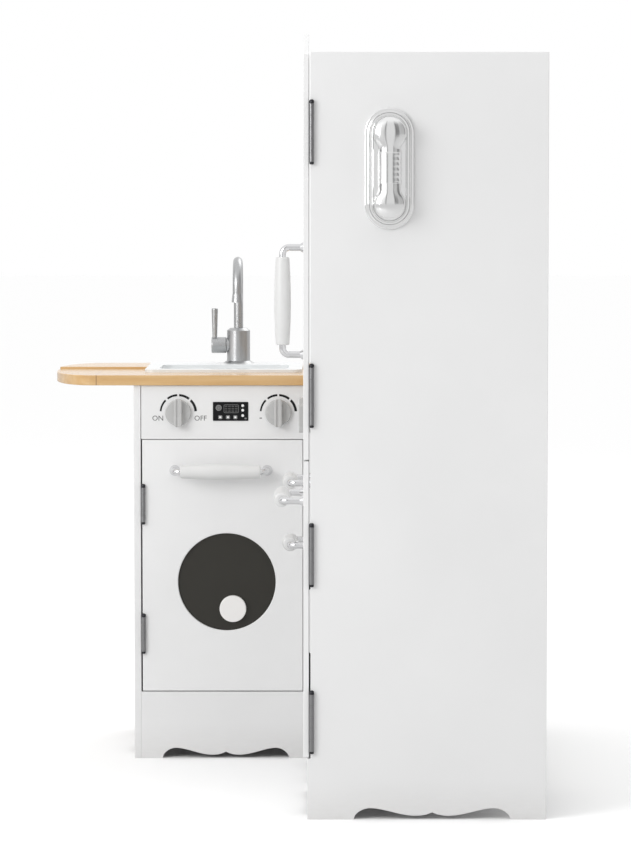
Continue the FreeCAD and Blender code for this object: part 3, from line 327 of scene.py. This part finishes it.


# the carcass boards carry painted shade along their foot, near the floor
carcass_paint = painted("carcass paint", CARCASS_WHITE, floor_shade=0.35)
finish(carcass_paint, "fridge_outer_side", "fridge_inner_side", "fridge_shelf_boards", "leg_front_boards",
       "wing_skirt", "oven_far_side", "corner_end_board", "wing_outer_side", "wing_inner_side",
       "cabinet_shelf_boards", "oven_control_panel", "wing_control_panel", "drawer_guides", "drawer_box")
door_paint = painted("door paint", DOOR_WHITE)
finish(door_paint, "upper_door_board", "lower_door_board", "oven_door_board", "drawer_front",
       "washer_door_board")


# ----------------------------------------------------------------------------------------------------
# Back boards: thin hardboard with a smooth white-coated face, screwed on from behind.
# ----------------------------------------------------------------------------------------------------
finish(painted("coated hardboard", (0.74, 0.74, 0.73), 0.55), "back_boards")


# ----------------------------------------------------------------------------------------------------
# Worktop: jointed pine boards with clear lacquer. The grain runs along each board, and the edges show it
# deeper in colour. The rounded end is its own piece, so a fine joint line crosses the front board.
# ----------------------------------------------------------------------------------------------------
PINE_PALE, PINE_MID, PINE_DEEP = (0.675, 0.455, 0.225), (0.625, 0.395, 0.172), (0.56, 0.33, 0.13)
JOINT_BROWN = (0.30, 0.17, 0.08)
LACQUER = 0.20
END_JOINT = 64 * MM        # from the rounded tip to the joint


def make_grain_group():
    """Straight softwood grain along X: long soft bands that wander a little, and fine pores in them."""
    tree, given, out = group("pine grain",
                             [("Vector", "NodeSocketVector", (0, 0, 0)), ("Band", "NodeSocketFloat", 0.006)],
                             [("Grain", "NodeSocketFloat"), ("Pores", "NodeSocketFloat")])
    long_place = stretch(tree, given.outputs["Vector"], (0.06, 1.0, 1.0))
    wander = tree.nodes.new("ShaderNodeTexNoise")
    tree.links.new(long_place, wander.inputs["Vector"])
    wander.inputs["Scale"].default_value = 16.0
    shift = tree.nodes.new("ShaderNodeVectorMath")
    shift.operation = "SCALE"
    tree.links.new(wander.outputs["Color"], shift.inputs[0])
    shift.inputs["Scale"].default_value = 0.03
    moved = tree.nodes.new("ShaderNodeVectorMath")
    moved.operation = "ADD"
    tree.links.new(long_place, moved.inputs[0])
    tree.links.new(shift.outputs["Vector"], moved.inputs[1])
    bands = noise(tree, moved.outputs["Vector"], calculate(tree, "DIVIDE", 1.0, given.outputs["Band"]), 3.0)
    pores = noise(tree, stretch(tree, given.outputs["Vector"], (0.02, 1.0, 1.0)), 2600.0)
    tree.links.new(bands, out.inputs["Grain"])
    tree.links.new(pores, out.inputs["Pores"])
    return tree


grain_group = make_grain_group()


def pine(name, turn=0.0, joint_x=None):
    """Lacquered pine, its grain turned from X, with a joint line across it at joint_x."""
    material, made, links, principled = shader(name, PINE_MID, LACQUER)
    tree = material.node_tree
    place = object_place(tree)
    grain = place_group(made, grain_group, Band=0.0085)
    links.new(stretch(tree, place, (1, 1, 1), turn), grain.inputs["Vector"])
    tone = calculate(tree, "ADD", calculate(tree, "MULTIPLY", grain.outputs["Grain"], 0.8),
                     calculate(tree, "MULTIPLY", grain.outputs["Pores"], 0.2))
    tint = grade(tree, tone, [(0.32, PINE_PALE), (0.52, PINE_MID), (0.72, PINE_DEEP)])
    if joint_x is not None:
        split = tree.nodes.new("ShaderNodeSeparateXYZ")
        links.new(place, split.inputs["Vector"])
        away = calculate(tree, "ABSOLUTE", calculate(tree, "SUBTRACT", split.outputs["X"], joint_x))
        line = calculate(tree, "LESS_THAN", away, 0.7 * MM)
        tint = mix_colour(tree, calculate(tree, "MULTIPLY", line, 0.8), tint, JOINT_BROWN)
    links.new(tint, principled.inputs["Base Color"])
    links.new(in_range(tree, grain.outputs["Pores"], LACQUER, LACQUER + 0.12), principled.inputs["Roughness"])
    principled.inputs["Coat Weight"].default_value = 0.4
    principled.inputs["Coat Roughness"].default_value = 0.12
    bump(made, links, grain.outputs["Pores"], 0.03 * MM, principled)
    return material


finish(pine("pine along the wing", joint_x=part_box("worktop_front_board")[0].x + END_JOINT),
       "worktop_front_board")
finish(pine("pine along the back"), "worktop_rear_board")
finish(pine("pine over the oven", math.pi / 2), "worktop_leg_board")


# ----------------------------------------------------------------------------------------------------
# Moulded plastic parts: sink tray, handle grips, knobs, catches. Injection or vacuum moulding leaves a faint
# skin, and handling leaves hazier and clearer patches.
# ----------------------------------------------------------------------------------------------------
def plastic(name, colour, roughness, dimple=0.8 * MM, depth=0.008 * MM, shine=0.5):
    material, made, links, principled = shader(name, colour, roughness)
    tree = material.node_tree
    skin = place_group(made, skin_group, Dimple=dimple, Patch=0.06)
    links.new(in_range(tree, skin.outputs["Patches"], roughness * 0.8, roughness * 1.25),
              principled.inputs["Roughness"])
    dark, light = (tuple(min(1.0, part * level) for part in colour) for level in (0.97, 1.02))
    tint = grade(tree, skin.outputs["Patches"], [(0.3, dark), (0.7, light)])
    links.new(tint, principled.inputs["Base Color"])
    principled.inputs["Specular IOR Level"].default_value = shine
    bump(made, links, skin.outputs["Height"], depth, principled)
    return material


finish(plastic("sink plastic", (0.79, 0.805, 0.81), 0.18), "sink_basin")
finish(plastic("catch plastic", (0.75, 0.75, 0.74), 0.35), "door_magnets")
finish(plastic("retaining ring plastic", (0.78, 0.78, 0.77), 0.30), "washer_retaining_ring")


# ----------------------------------------------------------------------------------------------------
# Hob: a thin plate of glossy dark plastic with two raised burners, glued on the worktop. Two rings of short
# ticks are printed round each burner.
# ----------------------------------------------------------------------------------------------------
HOB_PLATE_TOP = 2.5 * MM                    # over the underside of the plate
BURNER_INSET, BURNER_SPACING = 56 * MM, 120 * MM
TICK_RINGS = ((49.0 * MM, 48, 3.0 * MM, 0.9 * MM), (27.5 * MM, 24, 2.4 * MM, 0.9 * MM))
TICK_HEIGHT = 0.25 * MM


def make_tick_tree(material):
    """Geometry Nodes: a ring of ticks round each burner, with its radius, count, length and width."""
    tree = bpy.data.node_groups.new("burner ticks", "GeometryNodeTree")
    tree.interface.new_socket("Geometry", in_out="OUTPUT", socket_type="NodeSocketGeometry")
    for label, kind in (("Radius", "NodeSocketFloat"),
                        ("Count", "NodeSocketInt"),
                        ("Size", "NodeSocketVector"),
                        ("First burner", "NodeSocketVector"),
                        ("Spacing", "NodeSocketVector")):
        tree.interface.new_socket(label, in_out="INPUT", socket_type=kind)
    given, out = tree.nodes.new("NodeGroupInput"), tree.nodes.new("NodeGroupOutput")

    def new(kind):
        return tree.nodes.new(kind)

    circle, tick = new("GeometryNodeMeshCircle"), new("GeometryNodeMeshCube")
    on_circle = new("GeometryNodeInstanceOnPoints")
    tree.links.new(given.outputs["Count"], circle.inputs["Vertices"])
    tree.links.new(given.outputs["Radius"], circle.inputs["Radius"])
    tree.links.new(given.outputs["Size"], tick.inputs["Size"])
    angle = calculate(tree, "DIVIDE", new("GeometryNodeInputIndex").outputs["Index"], given.outputs["Count"])
    angle = calculate(tree, "MULTIPLY", angle, 2 * math.pi)
    turn = new("ShaderNodeCombineXYZ")
    tree.links.new(angle, turn.inputs["Z"])
    tree.links.new(circle.outputs["Mesh"], on_circle.inputs["Points"])
    tree.links.new(tick.outputs["Mesh"], on_circle.inputs["Instance"])
    tree.links.new(turn.outputs["Vector"], on_circle.inputs["Rotation"])
    burners, on_burners = new("GeometryNodeMeshLine"), new("GeometryNodeInstanceOnPoints")
    burners.inputs["Count"].default_value = 2
    tree.links.new(given.outputs["First burner"], burners.inputs["Start Location"])
    tree.links.new(given.outputs["Spacing"], burners.inputs["Offset"])
    tree.links.new(burners.outputs["Mesh"], on_burners.inputs["Points"])
    tree.links.new(on_circle.outputs["Instances"], on_burners.inputs["Instance"])
    realize, set_material = new("GeometryNodeRealizeInstances"), new("GeometryNodeSetMaterial")
    set_material.inputs["Material"].default_value = material
    tree.links.new(on_burners.outputs["Instances"], realize.inputs["Geometry"])
    tree.links.new(realize.outputs["Geometry"], set_material.inputs["Geometry"])
    tree.links.new(set_material.outputs["Geometry"], out.inputs["Geometry"])
    return tree


def make_ticks(name, tree, values):
    """Runs the tree with its inputs set by identifier, and keeps the result as a plain mesh."""
    seed = bpy.data.objects.new(name, bpy.data.meshes.new(name))
    bpy.context.scene.collection.objects.link(seed)
    modifier = seed.modifiers.new("ticks", "NODES")
    modifier.node_group = tree
    for socket in tree.interface.items_tree:
        if socket.in_out == "INPUT":
            modifier[socket.identifier] = values[socket.name]
    graph = bpy.context.evaluated_depsgraph_get()
    graph.update()
    mesh = bpy.data.meshes.new_from_object(seed.evaluated_get(graph))
    seed.modifiers.clear()
    seed.data = mesh
    return seed


def make_hob():
    hob_plastic, made, links, principled = shader("hob plastic", (0.028, 0.028, 0.031), 0.16)
    skin = place_group(made, skin_group, Dimple=0.9 * MM, Patch=0.05)
    haze = in_range(hob_plastic.node_tree, skin.outputs["Patches"], 0.12, 0.26)
    links.new(haze, principled.inputs["Roughness"])
    bump(made, links, skin.outputs["Height"], 0.006 * MM, principled)
    finish(hob_plastic, "hob_plate")
    print_grey = plastic("hob print", (0.50, 0.50, 0.51), 0.45)
    tree = make_tick_tree(print_grey)
    low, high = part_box("hob_plate")
    first = Vector((low.x + BURNER_INSET, (low.y + high.y) / 2, low.z + HOB_PLATE_TOP + TICK_HEIGHT / 2))
    for number, (radius, count, length, width) in enumerate(TICK_RINGS):
        ticks = make_ticks(f"burner_ticks_{number + 1}", tree,
                           {"Radius": radius, "Count": count, "Size": (length, width, TICK_HEIGHT),
                            "First burner": tuple(first), "Spacing": (BURNER_SPACING, 0, 0)})
        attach(ticks, "kitchen")


make_hob()


# ----------------------------------------------------------------------------------------------------
# Faucet and sink drain: hollow mouldings with a metallised silver finish, softer than chrome.
# ----------------------------------------------------------------------------------------------------
def metal(name, colour, roughness, haze=0.4, patch=0.02, dimple=0.7 * MM, depth=0.004 * MM):
    """Bare or plated metal, or metallised plastic, with hazier and clearer patches."""
    material, made, links, principled = shader(name, colour, roughness, 1.0)
    tree = material.node_tree
    skin = place_group(made, skin_group, Dimple=dimple, Patch=patch)
    links.new(in_range(tree, skin.outputs["Patches"], roughness * (1 - haze), roughness * (1 + haze)),
              principled.inputs["Roughness"])
    bump(made, links, skin.outputs["Height"], depth, principled)
    return material


finish(metal("silver plating", (0.48, 0.485, 0.49), 0.31), "faucet_body", "faucet_spout", "faucet_lever",
       "sink_drain")


# ----------------------------------------------------------------------------------------------------
# Telephone: a silver cradle plate screwed to the fridge's side, and a handset of two moulded shells with a
# grip band round its neck. The band has finger ridges down one side and a raised lip at each end.
# ----------------------------------------------------------------------------------------------------
phone_silver = metal("telephone silver", (0.86, 0.86, 0.86), 0.13)
finish(phone_silver, "phone_cradle")

# the front of the section from left to right: (across, out), as parts of the half width and depth
FACETS = ((-1.0, 0.0), (-0.97, 0.40), (-0.70, 0.80), (-0.20, 1.0), (0.36, 0.95), (0.62, 0.80), (0.96, 0.38),
          (1.0, 0.0))
ROUND = tuple((-math.cos(math.pi * n / 7), math.sin(math.pi * n / 7)) for n in range(8))
BULB_AWAY, BULB_RADII = 43.5 * MM, (19.6 * MM, 21.0 * MM)   # lower and upper bulb
NECK_HALF, NECK_FLARE = 13.2 * MM, 1.0 * MM
FRONT_DEPTH, NECK_BACK = 10.2 * MM, 4.6 * MM
SEAM_OUT = 19.0 * MM       # the seam of the two shells, from the fridge's side
BULB_BACK = 14.2 * MM
BAND_LOW, BAND_HIGH = -18.5 * MM, 20.5 * MM
RIDGE_PITCH, RIDGE_HEIGHT = 6.5 * MM, 0.8 * MM
BAND_GROW, LIP_GROW, LIP_WIDTH = 0.45 * MM, 0.35 * MM, 1.0 * MM


def handset_section(up):
    """Half width, front depth, back depth and roundness (0 faceted, 1 round) of the handset at a height."""
    radius = BULB_RADII[1] if up > 0 else BULB_RADII[0]
    beyond = abs(up) - BULB_AWAY
    bulb = math.sqrt(max(radius ** 2 - beyond ** 2, 0.0)) if abs(beyond) < radius else 0.0
    neck = NECK_HALF + NECK_FLARE * (abs(up) / BULB_AWAY) ** 2 if beyond < 0 else 0.0
    half = max(bulb, neck)
    share = min(1.0, max(0.0, (abs(up) / MM - 22.0) / 14.0))
    swell = share * share * (3 - 2 * share)
    end = bulb / radius if beyond > 0 else 1.0
    front = FRONT_DEPTH * end ** 0.8
    back = (NECK_BACK + (BULB_BACK - NECK_BACK) * swell) * end ** 0.6
    return half, front, back, 0.65 * swell


def loft(name, rings, material):
    """A closed skin over rings of points, with a flat cap at each end."""
    form = bmesh.new()
    rows = [[form.verts.new(point) for point in ring] for ring in rings]
    count = len(rings[0])
    for low, high in zip(rows, rows[1:]):
        for n in range(count):
            after = (n + 1) % count
            form.faces.new((low[n], low[after], high[after], high[n]))
    form.faces.new(list(reversed(rows[0])))
    form.faces.new(rows[-1])
    bmesh.ops.recalc_face_normals(form, faces=form.faces[:])
    return keep(name, form, material)


def keep(name, form, material, smooth=True):
    """Turns a bmesh into an object at the origin."""
    mesh = bpy.data.meshes.new(name)
    for face in form.faces:
        face.smooth = smooth
    form.to_mesh(mesh)
    form.free()
    mesh.materials.append(material)
    made = bpy.data.objects.new(name, mesh)
    bpy.context.scene.collection.objects.link(made)
    return made


cradle_low, cradle_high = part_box("phone_cradle")
PHONE_CENTRE = Vector(((cradle_low.x + cradle_high.x) / 2, cradle_high.y, (cradle_low.z + cradle_high.z) / 2))


def phone_point(across, out, up):
    """A point of the telephone, from its centre on the fridge's side."""
    return PHONE_CENTRE + Vector((across, -out, up))


def half_ring(up, front, grow=0.0):
    """The closed outline of one shell at a height."""
    half, front_depth, back_depth, roundness = handset_section(up)
    points = []
    for (facet_u, facet_v), (round_u, round_v) in zip(FACETS, ROUND):
        if front:
            u, v = facet_u + (round_u - facet_u) * roundness, facet_v + (round_v - facet_v) * roundness
            out = SEAM_OUT + (front_depth + grow) * v
        else:
            u, v = round_u, round_v
            out = SEAM_OUT - 0.15 * MM - (back_depth + grow) * v
        points.append(phone_point((half + grow) * u, out, up))
    return points


def band_ring(up):
    """The grip band's outline all round; the finger ridges push its right side out."""
    lip = LIP_GROW if min(up - BAND_LOW, BAND_HIGH - up) < LIP_WIDTH else 0.0
    front, back = (half_ring(up, side, BAND_GROW + lip) for side in (True, False))
    ring = front + list(reversed(back))[1:-1]
    centre = phone_point(0, SEAM_OUT, up)
    half = handset_section(up)[0]
    wave = 0.5 - 0.5 * math.cos(2 * math.pi * (up - BAND_LOW) / RIDGE_PITCH)
    for point in ring:
        side = (point.x - centre.x) / half
        if side > 0.55:
            point.x += RIDGE_HEIGHT * wave * min(1.0, (side - 0.55) / 0.3)
    return ring


def heights(low, high, count):
    """Heights between two ends, closer together at the ends."""
    return [low + (high - low) * (0.5 - 0.5 * math.cos(math.pi * n / count)) for n in range(count + 1)]


def crease_long_edges(piece, levels=2):
    """Softens a loft, keeping its long facet lines half crisp."""
    mesh = piece.data
    creases = mesh.attributes.new("crease_edge", "FLOAT", "EDGE")
    for edge in mesh.edges:
        a, b = (mesh.vertices[n].co for n in edge.vertices)
        if abs(a.z - b.z) > 0.4 * (a - b).length:
            creases.data[edge.index].value = 0.55
    modifier = piece.modifiers.new("softened", "SUBSURF")
    modifier.levels = modifier.render_levels = levels


def make_handset():
    ends = (-(BULB_AWAY + BULB_RADII[0]) + 0.25 * MM, BULB_AWAY + BULB_RADII[1] - 0.25 * MM)
    stations = heights(*ends, 44)
    for name, front, node in (("handset_front", True, "handset_front_shell"),
                              ("handset_back", False, "handset_back_shell")):
        shell = loft(name, [half_ring(up, front) for up in stations], phone_silver)
        crease_long_edges(shell)
        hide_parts(node)
        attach(shell, "phone_handset")
    steps = 84
    band_heights = [BAND_LOW + (BAND_HIGH - BAND_LOW) * n / steps for n in range(steps + 1)]
    band = loft("handset_grip", [band_ring(up) for up in band_heights], phone_silver)
    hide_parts("handset_grip_band")
    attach(band, "phone_handset")


make_handset()


# ----------------------------------------------------------------------------------------------------
# Handles: a bent steel bar, chromed, with a white barrel grip threaded on before bending.
# ----------------------------------------------------------------------------------------------------
chrome = metal("chrome", (0.74, 0.74, 0.75), 0.09)
grip_plastic = plastic("grip plastic", (0.70, 0.70, 0.695), 0.30)
for door in ("upper_door", "lower_door", "oven_door", "drawer", "washer_door"):
    finish(chrome, f"{door}_handle_bar")
    finish(grip_plastic, f"{door}_handle_grip")


# ----------------------------------------------------------------------------------------------------
# Hinges, pins and screws: zinc-plated steel leaves and knuckles on darker pins, and bright screws.
# ----------------------------------------------------------------------------------------------------
finish(metal("hinge zinc", (0.25, 0.25, 0.255), 0.34), "hinge_fixed_leaves", "upper_door_fittings",
       "lower_door_fittings", "oven_door_fittings", "washer_door_fittings")
finish(metal("pin steel", (0.05, 0.05, 0.055), 0.38), "hinge_pins")
finish(metal("screw zinc", (0.60, 0.60, 0.60), 0.32), "assembly_screws")


# ----------------------------------------------------------------------------------------------------
# Washing machine door: a smoked plastic drum disc turns behind a round hole, by a white finger knob.
# ----------------------------------------------------------------------------------------------------
finish(plastic("drum plastic", (0.029, 0.027, 0.022), 0.34, shine=0.3), "washer_drum_disc")
finish(plastic("finger knob plastic", (0.86, 0.845, 0.83), 0.25), "washer_finger_knob")


# ----------------------------------------------------------------------------------------------------
# Oven window: a clear acrylic pane held behind the door.
# ----------------------------------------------------------------------------------------------------
pane, made, links, principled = shader("oven pane", (0.84, 0.88, 0.89), 0.04)
principled.inputs["Transmission Weight"].default_value = 1.0
principled.inputs["IOR"].default_value = 1.49
smears = place_group(made, skin_group, Dimple=1.5 * MM, Patch=0.04)
links.new(in_range(pane.node_tree, smears.outputs["Patches"], 0.02, 0.10), principled.inputs["Roughness"])
finish(pane, "oven_window_pane")


# ----------------------------------------------------------------------------------------------------
# Knobs: silver-grey mouldings with a pointer fin, pushed into the control panels. Round each knob an arc in
# four strokes is printed on the panel, with plain words or a sign at its ends.
# ----------------------------------------------------------------------------------------------------
finish(plastic("knob plastic", (0.50, 0.50, 0.495), 0.27), "washer_knob_left", "washer_knob_right",
       "oven_knob_near", "oven_knob_far")
ink = plastic("black ink", (0.010, 0.010, 0.011), 0.45, shine=0.2)
grey_ink = plastic("grey ink", (0.15, 0.15, 0.15), 0.45, shine=0.2)
INK_THICK = 0.2 * MM
DIAL_R = 24.4 * MM
STROKES = ((175, 135), (127, 93), (87, 52), (45, 5))
THIN_STROKE, THICK_STROKE = 2.3 * MM, 3.6 * MM
LETTER_HIGH = 7.0 * MM
WORDS_LEFT, WORDS_RIGHT, WORDS_DOWN = -28.3 * MM, 31.0 * MM, -7.5 * MM
MINUS_ACROSS, MINUS_SIZE = -24.2 * MM, (3.4 * MM, 1.4 * MM)


def flat_point(place, across, up, out=0.0):
    """A point on a panel: place is (centre, right, up, outward)."""
    centre, right, upward, outward = place
    return centre + right * across + upward * up + outward * out


def add_prism(form, place, outline, low=0.0, high=INK_THICK):
    """A thin plate from an outline of (across, up) points."""
    bottom = [form.verts.new(flat_point(place, a, b, low)) for a, b in outline]
    top = [form.verts.new(flat_point(place, a, b, high)) for a, b in outline]
    form.faces.new(bottom)
    form.faces.new(top)
    for n in range(len(outline)):
        after = (n + 1) % len(outline)
        form.faces.new((bottom[n], bottom[after], top[after], top[n]))


def arc_outline(radius, start, end, wide_start, wide_end, steps=14):
    """A stroke along an arc, its width growing from one end to the other; angles in degrees."""
    outer, inner = [], []
    for n in range(steps + 1):
        part = n / steps
        angle = math.radians(start + (end - start) * part)
        half = (wide_start + (wide_end - wide_start) * part) / 2
        outer.append(((radius + half) * math.cos(angle), (radius + half) * math.sin(angle)))
        inner.append(((radius - half) * math.cos(angle), (radius - half) * math.sin(angle)))
    return outer + list(reversed(inner))


def add_letters(form, place, words, across, up, high):
    """Plain letters, centred on (across, up): made a mesh first, then set on the panel."""
    curve = bpy.data.curves.new("letters", "FONT")
    curve.body, curve.align_x, curve.align_y = words, "CENTER", "CENTER"
    curve.extrude, curve.resolution_u = 0.05, 3
    text = bpy.data.objects.new("letters", curve)
    bpy.context.scene.collection.objects.link(text)
    graph = bpy.context.evaluated_depsgraph_get()
    graph.update()
    mesh = bpy.data.meshes.new_from_object(text.evaluated_get(graph))
    bpy.data.objects.remove(text)
    low_y, high_y = (pick(v.co.y for v in mesh.vertices) for pick in (min, max))
    low_x, high_x = (pick(v.co.x for v in mesh.vertices) for pick in (min, max))
    scale = high / (high_y - low_y)
    middle = Vector(((low_x + high_x) / 2, (low_y + high_y) / 2))
    for vertex in mesh.vertices:
        out = INK_THICK if vertex.co.z > 0 else 0.0
        vertex.co = flat_point(place, across + (vertex.co.x - middle.x) * scale,
                               up + (vertex.co.y - middle.y) * scale, out)
    form.from_mesh(mesh)
    bpy.data.meshes.remove(mesh)


def print_piece(name, form, material):
    """Closes a print's mesh and fixes it to the kitchen."""
    bmesh.ops.remove_doubles(form, verts=form.verts[:], dist=0.001 * MM)
    bmesh.ops.recalc_face_normals(form, faces=form.faces[:])
    made = keep(name, form, material, smooth=False)
    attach(made, "kitchen")


def print_dial(knob, panel, facing, left_word="", right_word=""):
    """The arc round one knob, with a word at each end, or else a minus sign at its low end."""
    right = facing.cross(Z) * -1
    low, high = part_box(knob)
    panel_low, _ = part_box(panel)
    centre = (low + high) / 2
    if facing.y:
        centre.y = panel_low.y
    else:
        centre.x = panel_low.x
    place = (centre + facing * 0.02 * MM, right, Z, facing)
    strokes, words = bmesh.new(), bmesh.new()
    for start, end in STROKES:
        wide = [THIN_STROKE + (THICK_STROKE - THIN_STROKE) * (180 - angle) / 180 for angle in (start, end)]
        add_prism(strokes, place, arc_outline(DIAL_R, start, end, *wide))
    print_piece(f"{knob}_dial", strokes, ink)
    if right_word:
        add_letters(words, place, left_word, WORDS_LEFT, WORDS_DOWN, LETTER_HIGH)
        add_letters(words, place, right_word, WORDS_RIGHT, WORDS_DOWN, LETTER_HIGH)
    else:
        wide, high = (size / 2 for size in MINUS_SIZE)
        corners = ((-wide, -high), (wide, -high), (wide, high), (-wide, high))
        add_prism(words, place, [(MINUS_ACROSS + a, WORDS_DOWN + b) for a, b in corners])
    print_piece(f"{knob}_words", words, grey_ink)


print_dial("washer_knob_left", "wing_control_panel", -Y, "ON", "OFF")
print_dial("washer_knob_right", "wing_control_panel", -Y)
print_dial("oven_knob_near", "oven_control_panel", -X, "ON", "OFF")
print_dial("oven_knob_far", "oven_control_panel", -X)


# ----------------------------------------------------------------------------------------------------
# Display: a glossy black plate glued to the wing's control panel, printed with a round symbol, a small
# screen of plain bars, three lamps down its right side and three keys along its foot.
# ----------------------------------------------------------------------------------------------------
finish(plastic("display black", (0.005, 0.005, 0.006), 0.28, shine=0.2), "display_panel")
lamp_white = plastic("printed white", (0.80, 0.80, 0.80), 0.35)
mid_grey = plastic("printed grey", (0.20, 0.20, 0.20), 0.35)
dark_grey = plastic("printed dark grey", (0.055, 0.055, 0.055), 0.30)


def ring_outline(radius, across, up, count=28):
    angles = [2 * math.pi * n / count for n in range(count)]
    return [(across + radius * math.cos(angle), up + radius * math.sin(angle)) for angle in angles]


def rounded_outline(across, up, wide, high, radius, steps=4):
    """A rectangle with round corners, centred on (across, up)."""
    points = []
    for corner, (side_x, side_y) in enumerate(((1, 1), (-1, 1), (-1, -1), (1, -1))):
        for n in range(steps + 1):
            angle = math.radians(90 * corner + 90 * n / steps)
            points.append((across + side_x * (wide / 2 - radius) + radius * math.cos(angle),
                           up + side_y * (high / 2 - radius) + radius * math.sin(angle)))
    return points


def add_frame(form, place, outer, inner, low, high):
    """A flat ring between two outlines of as many points."""
    count = len(outer)
    rows = [[form.verts.new(flat_point(place, a, b, out)) for a, b in outline]
            for outline, out in ((outer, low), (inner, low), (inner, high), (outer, high))]
    for row, following in zip(rows, rows[1:] + rows[:1]):
        for n in range(count):
            after = (n + 1) % count
            form.faces.new((row[n], row[after], following[after], following[n]))


def make_display_print():
    low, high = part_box("display_panel")
    place = (Vector(((low.x + high.x) / 2, low.y, (low.z + high.z) / 2)), X, Z, -Y)
    thin, thick = 0.12 * MM, 0.24 * MM
    white, grey, dark = bmesh.new(), bmesh.new(), bmesh.new()
    for up in (8.0 * MM, 1.6 * MM, -5.8 * MM):
        add_prism(white, place, ring_outline(1.9 * MM, 16.8 * MM, up), 0, thin)
    for across in (-14.3 * MM, -3.7 * MM, 6.6 * MM):
        add_prism(grey, place, rounded_outline(across, -8.1 * MM, 5.6 * MM, 5.2 * MM, 1.2 * MM), 0, thin)
        add_prism(white, place, rounded_outline(across, -8.1 * MM, 2.9 * MM, 2.7 * MM, 0.8 * MM), thin, thick)
    symbol = (-16.5 * MM, 4.9 * MM)
    add_prism(grey, place, ring_outline(4.2 * MM, *symbol, 36), 0, thin)
    add_frame(dark, place, ring_outline(2.6 * MM, *symbol), ring_outline(1.9 * MM, *symbol), thin, thick)
    add_prism(dark, place, rounded_outline(*symbol, 2.6 * MM, 0.7 * MM, 0.3 * MM), thin, thick)
    screen = (0.8 * MM, 3.6 * MM, 20.6 * MM, 11.6 * MM)
    add_frame(grey, place, rounded_outline(*screen, 1.6 * MM),
              rounded_outline(*screen[:2], screen[2] - 1.0 * MM, screen[3] - 1.0 * MM, 1.1 * MM), 0, thin)
    for row in range(3):
        for column in range(4):
            add_prism(dark, place, rounded_outline((-6.3 + 4.7 * column) * MM, (6.9 - 3.3 * row) * MM,
                                                   3.7 * MM, 1.9 * MM, 0.5 * MM), 0, thin)
    add_prism(grey, place, rounded_outline(20.8 * MM, -9.8 * MM, 3.0 * MM, 2.2 * MM, 0.5 * MM), 0, thin)
    print_piece("display_lamps", white, lamp_white)
    print_piece("display_symbols", grey, mid_grey)
    print_piece("display_bars", dark, dark_grey)


make_display_print()
